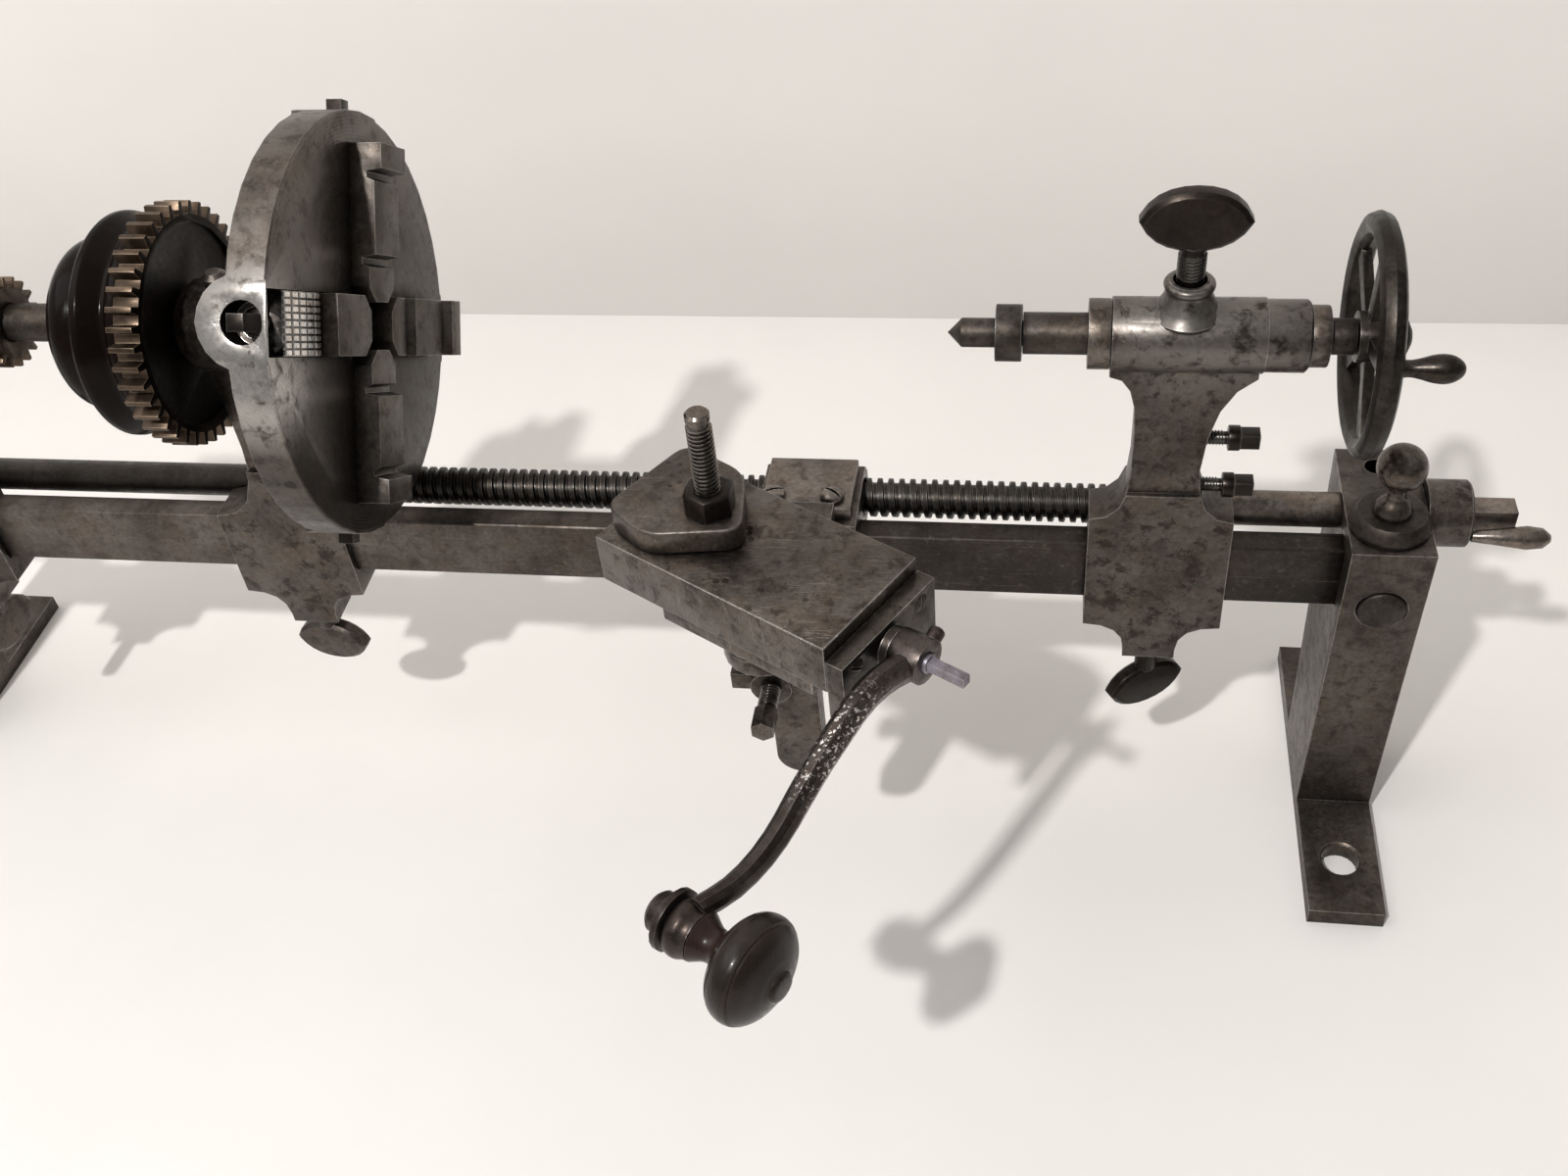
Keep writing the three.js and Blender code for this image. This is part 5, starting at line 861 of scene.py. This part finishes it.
class LATHE_OT_chuck(Operator):
    """Finish the chuck body, its jaws, knurled block and jaw screws."""

    bl_idname = "lathe.chuck"
    bl_label = "Chuck"

    def execute(self, context):
        sizes = context.scene.lathe_sizes
        dress("chuck_body", "chuck", sizes.edge * 0.8)
        for node in ("jaw_top", "jaw_front", "jaw_bottom", "jaw_rear"):
            dress(node, "jaw", sizes.fine_edge)
        self.knurled_block(inner=34.3, outer=59.7, half_width=10, bottom=256.2, top=261.0)
        for node in ("jaw_screw_top", "jaw_screw_front", "jaw_screw_bottom", "jaw_screw_rear"):
            dress(node, "black", sizes.fine_edge)
        return {"FINISHED"}

    def knurled_block(self, inner, outer, half_width, bottom, top):
        """Block on the front jaw with rows of crowned squares."""
        crown, groove, chamfer, narrow_share = 0.8, 0.2, 0.18, 0.42
        deselect_all()
        bpy.ops.mesh.primitive_grid_add(x_subdivisions=5, y_subdivisions=9, size=1 * MM)
        piece = bpy.context.object
        piece.name = "jaw_knurl_finished"
        piece.scale = ((outer - inner) * narrow_share, 2 * half_width, 1)
        bpy.ops.object.transform_apply(location=True, rotation=True, scale=True)
        edit()
        select_whole()
        bpy.ops.mesh.inset(thickness=groove * MM, depth=0, use_individual=True)
        bpy.ops.mesh.inset(thickness=chamfer * MM, depth=crown * MM, use_individual=True)
        # The upright grooves are cut wider than the level ones
        select_whole()
        bpy.ops.transform.resize(value=(1 / narrow_share, 1, 1), center_override=(0, 0, 0))
        select_open_edges()
        depth = top - crown - bottom
        bpy.ops.mesh.extrude_region_move(TRANSFORM_OT_translate={"value": (0, 0, -depth * MM)})
        bpy.ops.mesh.edge_face_add()
        face_outwards()
        middle = (inner + outer) / 2
        place = Vector((top - crown, -middle * math.cos(CHUCK_LEAN), middle * math.sin(CHUCK_LEAN))) * MM
        place.z += SPINDLE_HEIGHT
        place_mesh(piece, place, RIGHT, -math.pi / 2 - CHUCK_LEAN)
        smooth(piece, 20)
        finish_piece(piece, "jaw_knurl", "knurl")


class LATHE_OT_carriage(Operator):
    """Finish the carriage with its cap, screws and bolts."""

    bl_idname = "lathe.carriage"
    bl_label = "Carriage"

    def execute(self, context):
        sizes = context.scene.lathe_sizes
        dress("carriage", "body", sizes.edge)
        dress("nut_cap", "bright", sizes.edge)
        cap_top = 150.8
        heads = [("nut_cap_screw_1", (396.01, -2, cap_top), 20),
                 ("nut_cap_screw_2", (417.01, -2, cap_top), -35)]
        domed_screws(heads, UP, shank=4, radius=4.2, height=3.3, slot=1.0, finish="polished")
        dress("carriage_side_bolt", "ball", sizes.edge)
        bolt = dress("carriage_front_bolt", "ball", sizes.edge)
        add_thread(bolt, (404.0, -75.6, 129.5), FRONT, length=10.2, core=3.0, crest=3.35,
                   pitch=sizes.screw_pitch / MM)
        return {"FINISHED"}


class LATHE_OT_slide_rest(Operator):
    """Finish the swivelling base, the top slide and its end plate."""

    bl_idname = "lathe.slide_rest"
    bl_label = "Slide rest"

    def execute(self, context):
        sizes = context.scene.lathe_sizes
        dress("slide_base", "slide", sizes.edge)
        dress("top_slide", "slide", sizes.edge)
        dress("end_plate", "body", sizes.edge)
        screw_height = 184.5
        heads = [("end_screw_1", (438.7, -115.6, screw_height), 25),
                 ("end_screw_2", (454.75, -87.9, screw_height), -50)]
        domed_screws(heads, SLIDE_AXIS, shank=4, radius=3.5, height=2.4, slot=0.9, finish="shaft")
        return {"FINISHED"}


class LATHE_OT_crank(Operator):
    """Finish the feed screw and the forged crank."""

    bl_idname = "lathe.crank"
    bl_label = "Crank"

    def execute(self, context):
        sizes = context.scene.lathe_sizes
        dress("feed_screw", "square_end", sizes.fine_edge)
        crank = dress("crank", "crank", sizes.fine_edge)
        lift = math.radians(25)
        across = Matrix.Rotation(SLIDE_TURN, 3, "Z") @ Vector((0, 1, 0))
        axis = across * math.cos(lift) + Vector((0, 0, math.sin(lift)))
        hub_place, eye_place, bead_width = 17, 5.4, 7.9
        pin = turned_piece("hub_screw", slide_place(hub_place, 0, FEED_HEIGHT), axis,
                           [(5, 0), (5, 2.5), (9.6, 2.5), (10.4, 2.1), (10.9, 1.2), (11, 0)], 32)
        bead = curved([(0, 7.0), (0.7, 8.2), (2.4, 8.9), (4.2, 8.8), (5.8, 8.0), (7.0, 7.6),
                       (bead_width, 7.5)], 5)
        profile = [(0, 0)] + bead + [(bead_width, 0)]
        ring = turned_piece("eye_bead", knob_place(eye_place), SLIDE_AXIS, profile, 48)
        grow(crank, pin, ring)
        return {"FINISHED"}


class LATHE_OT_knob(Operator):
    """Turn the crank's polished knob."""

    bl_idname = "lathe.knob"
    bl_label = "Crank knob"

    def execute(self, context):
        start, length, socket, bore = 13.7, 28, 20, 2.9
        outer_shares = [
            (0.0, 7.4), (0.06, 6.4), (0.14, 5.3), (0.22, 5.2), (0.29, 6.4), (0.34, 9.0), (0.4, 12.4),
            (0.5, 15.1), (0.61, 16.0), (0.72, 15.4), (0.83, 12.6), (0.91, 8.2), (0.935, 6.0), (0.95, 4.8),
        ]
        outer = curved([(share * length, radius) for share, radius in outer_shares], 6)
        outer = grooved(outer, (9.6, 13.2, 20.6), depth=0.45, width=0.5)
        tip = [(length - 0.8, 4.6), (length - 0.2, 4.0), (length, 3.0), (length, 0)]
        profile = [(socket, 0), (socket, bore), (0, bore)] + outer + tip
        turned_finish("crank_knob", "knob", knob_place(start), SLIDE_AXIS, profile, 64)
        return {"FINISHED"}


class LATHE_OT_tool_clamp(Operator):
    """Finish the tool clamp plate, its threaded stud and nut."""

    bl_idname = "lathe.tool_clamp"
    bl_label = "Tool clamp"

    def execute(self, context):
        sizes = context.scene.lathe_sizes
        dress("clamp_plate", "clamp_plate", sizes.edge * 2, segments=3)
        low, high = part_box("clamp_stud")
        place = Vector(((low.x + high.x) / 2, (low.y + high.y) / 2, low.z))
        height, root, tip, crest = (high.z - low.z) / MM, 3.3, 3.8, 4.0
        profile = [(0, 0), (0, root), (height - 3.2, root), (height - 2.6, tip), (height - 0.7, tip),
                   (height, 3.1), (height, 0)]
        core = turned_piece("clamp_stud_finished", place, UP, profile, 40)
        ridge = thread_ridge("stud_thread", place, UP, height - 2.4, root, crest, sizes.stud_pitch / MM, 28)
        grow(finish_piece(core, "clamp_stud", "stud"), ridge)
        dress("clamp_nut", "black", sizes.edge)
        return {"FINISHED"}


class LATHE_OT_tailstock(Operator):
    """Finish the tailstock poppet, gland, cap and side screws."""

    bl_idname = "lathe.tailstock"
    bl_label = "Tailstock"

    def execute(self, context):
        sizes = context.scene.lathe_sizes
        poppet = dress("tail_poppet", "poppet", sizes.edge)
        # The lock's boss flows into the barrel and ends in a turned bead
        bore, foot, top = 4.3, 6, 12.5
        outer = curved([(0, 0), (0, 11.0), (3.2, 9.4), (5.4, 8.2), (7.8, 7.2), (8.8, 7.0), (9.6, 7.5),
                        (10.6, 7.9), (11.6, 7.6), (12.2, 6.6), (top, 5.2)], 3)[3:]
        profile = outer + [(top, bore), (foot, bore), (foot, 0)]
        grow(poppet, turned_piece("boss_flare", (QUILL_LOCK_X * MM, 0, 228 * MM), UP, profile, 56))
        dress("quill_gland", "barrel", sizes.fine_edge)
        dress("tail_cap", "barrel", sizes.fine_edge)
        for node, height in (("tail_side_screw_1", 179.5), ("tail_side_screw_2", 159.5)):
            screw = dress(node, "black", sizes.fine_edge)
            add_thread(screw, (542.2, 0, height), RIGHT, length=7.8, core=2.2, crest=2.55, pitch=1.0)
        return {"FINISHED"}


class LATHE_OT_quill(Operator):
    """Finish the quill, its nose ring and the centre."""

    bl_idname = "lathe.quill"
    bl_label = "Quill and centre"

    def execute(self, context):
        fine = context.scene.lathe_sizes.fine_edge
        for node in ("quill", "quill_ring", "tail_centre"):
            dress(node, "shaft", fine)
        return {"FINISHED"}


class LATHE_OT_handwheel(Operator):
    """Finish the tailstock screw, handwheel and handle."""

    bl_idname = "lathe.handwheel"
    bl_label = "Handwheel"

    def execute(self, context):
        fine = context.scene.lathe_sizes.fine_edge
        dress("tail_screw", "shaft", fine)
        dress("tail_wheel", "wheel", fine)
        handle = curved([(0, 3.0), (1.6, 2.7), (3.6, 2.6), (6.4, 3.2), (9.6, 4.1), (12.6, 4.45), (15.2, 4.05),
                         (17.2, 3.0), (18.5, 1.6), (19, 0)], 5)
        root = (592.6 * MM, -25.23 * MM, 226.29 * MM)
        turned_finish("wheel_handle", "handle", root, RIGHT, [(0, 0)] + handle, 48)
        return {"FINISHED"}


class LATHE_OT_leaf_screws(Operator):
    """Finish the four leaf-headed screws."""

    bl_idname = "lathe.leaf_screws"
    bl_label = "Leaf screws"

    def execute(self, context):
        sizes = context.scene.lathe_sizes
        dress("tail_clamp", "black", sizes.edge, segments=3)
        for node in ("head_front_clamp", "head_rear_clamp"):
            dress(node, "leg", sizes.edge, segments=3)
        lock = dress("quill_lock", "black", sizes.edge, segments=3)
        add_thread(lock, (QUILL_LOCK_X, 0, 240.9), UP, length=10.2, core=4.0, crest=4.4,
                   pitch=sizes.screw_pitch / MM)
        return {"FINISHED"}


def stage_plane(name, material, location, size, rotation=(0, 0, 0)):
    """A flat part of the surroundings."""
    deselect_all()
    bpy.ops.mesh.primitive_plane_add(size=1, location=location, rotation=rotation)
    plane = bpy.context.object
    plane.name = name
    plane.scale = size
    bpy.ops.object.transform_apply(location=True, rotation=True, scale=True)
    plane.data.materials.append(material)


def stage_material(name, colour, roughness, painted_light_ramps=(), front_only=False):
    """Pale matt surface with a barely uneven tone, and painted light ramped along the given axes."""
    r = Recipe(name)
    cloud = r.span(r.noise(6.0, 5.0, 0.6), 0.35, 0.65)
    tone = r.mix(cloud, mix_tone(colour, 0.985), mix_tone(colour, 1.01))
    # Painted light: the tone rises and falls along each given axis
    for axis, *ends in painted_light_ramps:
        tone = r.scaled(tone, r.span(r.along(axis), *ends))
    r.link(tone, r.shader.inputs["Base Color"])
    r.shader.inputs["Roughness"].default_value = roughness
    r.shader.inputs["Specular IOR Level"].default_value = 0.25
    if front_only:
        # Light and sight pass through from behind
        behind = r.add("NewGeometry")["Backfacing"]
        clear = r.add("BsdfTransparent")["BSDF"]
        either = r.add("MixShader", {"Fac": behind, 1: r.shader.outputs["BSDF"], 2: clear})["Shader"]
        r.link(either, r.nodes["Material Output"].inputs["Surface"])
    return r.material


def area_lamp(name, location, target, power, size, colour):
    """Soft square lamp aimed at a place."""
    data = bpy.data.lights.new(name, "AREA")
    data.energy, data.size, data.color = power, size, colour
    lamp = bpy.data.objects.new(name, data)
    bpy.context.scene.collection.objects.link(lamp)
    lamp.location = location
    lamp.rotation_euler = (target - location).to_track_quat("-Z", "Y").to_euler()


def photo_camera(scene):
    """Camera at the photograph's place, turn and lens."""
    across, pitch = math.cos(CAMERA_YAW), math.cos(CAMERA_PITCH)
    forward = Vector((-math.sin(CAMERA_YAW) * pitch, across * pitch, -math.sin(CAMERA_PITCH)))
    level = Vector((across, math.sin(CAMERA_YAW), 0))
    down = forward.cross(level)
    right = math.cos(CAMERA_ROLL) * level + math.sin(CAMERA_ROLL) * down
    drop = -math.sin(CAMERA_ROLL) * level + math.cos(CAMERA_ROLL) * down
    data = bpy.data.cameras.new("view")
    data.sensor_width = SENSOR_WIDTH
    data.lens = SENSOR_WIDTH * FOCAL_PIXELS / IMAGE_WIDTH
    data.shift_x = (IMAGE_WIDTH / 2 - OPTICAL_CENTRE[0]) / IMAGE_WIDTH
    data.shift_y = (OPTICAL_CENTRE[1] - IMAGE_HEIGHT / 2) / IMAGE_WIDTH
    camera = bpy.data.objects.new("view", data)
    scene.collection.objects.link(camera)
    basis = Matrix((right, -drop, -forward)).transposed().to_4x4()
    camera.matrix_world = Matrix.Translation(Vector(CAMERA_PLACE)) @ basis
    scene.camera = camera


def room_light(scene):
    """Room brightest above and to the left, darker in front, and twice as bright where it is seen."""
    scene.world = bpy.data.worlds.new("room")
    scene.world.use_nodes = True
    r = NodeBuilder(scene.world.node_tree)
    background = r.nodes["Background"]
    background.inputs["Color"].default_value = (*WARM_WHITE, 1)
    brightest = Vector((-0.40, 0.30, 0.87)).normalized()
    toward = r.add("VectorMath", {0: r.add("TexCoord")["Object"], 1: brightest}, operation="DOT_PRODUCT")
    level = r.add("MapRange", {
        "Value": toward["Value"], "From Min": -0.2, "From Max": 0.95, "To Min": 0.10, "To Max": 0.45,
    })["Result"]
    path = r.add("LightPath")
    seen = path["Is Camera Ray"]
    for kind in ("Is Glossy Ray", "Is Transmission Ray"):
        seen = r.sum("MAXIMUM", seen, path[kind])
    strength = r.add("Math", {0: seen, 1: level, 2: level}, operation="MULTIPLY_ADD")[0]
    r.link(strength, background.inputs["Strength"])


class LATHE_OT_stage(Operator):
    """Set the camera, table, wall and lamps."""

    bl_idname = "lathe.stage"
    bl_label = "Table and light"

    def execute(self, context):
        scene = context.scene
        colours = scene.lathe_colours
        scene.view_settings.view_transform = "Standard"
        photo_camera(scene)
        stage_plane("table", stage_material("table_top", colours.floor, 0.6), (0.35, -0.3, 0), (7, 6.0, 1))
        # Painted light: the wall is lighter towards its top and a little towards the right
        paint = stage_material("wall_paint", colours.wall, 0.8, front_only=True, painted_light_ramps=(
            ("Z", -0.05, 0.22, 0.90, 1.16), ("X", -0.1, 0.9, 1.03, 1.04)))
        stage_plane("wall", paint, (0.35, 0.333, 1.0), (6, 2.4, 1), (math.radians(90), 0, 0))
        room_light(scene)
        aim = Vector((0.35, 0, 0.12))
        key_distance = 2.2
        key = aim + Vector((-0.25, -0.76, 1.0)).normalized() * key_distance
        area_lamp("key", key, aim, power=29.5, size=0.07, colour=WARM_WHITE)
        area_lamp("soft", aim + Vector((-1.3, -0.3, 1.9)), aim, power=13, size=1.6, colour=(1.0, 0.99, 0.975))
        return {"FINISHED"}


class LATHE_PT_panel(Panel):
    """Lists the steps of the lathe."""

    bl_idname = "LATHE_PT_panel"
    bl_label = "Bar-bed lathe"
    bl_space_type = "VIEW_3D"
    bl_region_type = "UI"
    bl_category = "Lathe"

    def draw(self, context):
        for step in STEPS:
            self.layout.operator(step.bl_idname)
        for group in (context.scene.lathe_sizes, context.scene.lathe_colours):
            for key in group.bl_rna.properties.keys():
                if key not in ("rna_type", "name"):
                    self.layout.prop(group, key)


STEPS = (
    LATHE_OT_finishes,
    LATHE_OT_bed,
    LATHE_OT_lock,
    LATHE_OT_lead_screw,
    LATHE_OT_headstock,
    LATHE_OT_spindle,
    LATHE_OT_pulley,
    LATHE_OT_chuck,
    LATHE_OT_carriage,
    LATHE_OT_slide_rest,
    LATHE_OT_crank,
    LATHE_OT_knob,
    LATHE_OT_tool_clamp,
    LATHE_OT_tailstock,
    LATHE_OT_quill,
    LATHE_OT_handwheel,
    LATHE_OT_leaf_screws,
    LATHE_OT_stage,
)
CLASSES = (LatheSizes, LatheColours) + STEPS + (LATHE_PT_panel,)


def register():
    for cls in CLASSES:
        bpy.utils.register_class(cls)
    bpy.types.Scene.lathe_sizes = PointerProperty(type=LatheSizes)
    bpy.types.Scene.lathe_colours = PointerProperty(type=LatheColours)


def unregister():
    del bpy.types.Scene.lathe_colours
    del bpy.types.Scene.lathe_sizes
    for cls in reversed(CLASSES):
        bpy.utils.unregister_class(cls)


def main():
    """Builds the whole scene, one step after another."""
    register()
    for step in STEPS:
        group, name = step.bl_idname.split(".")
        getattr(getattr(bpy.ops, group), name)()


if __name__ == "__main__":
    main()
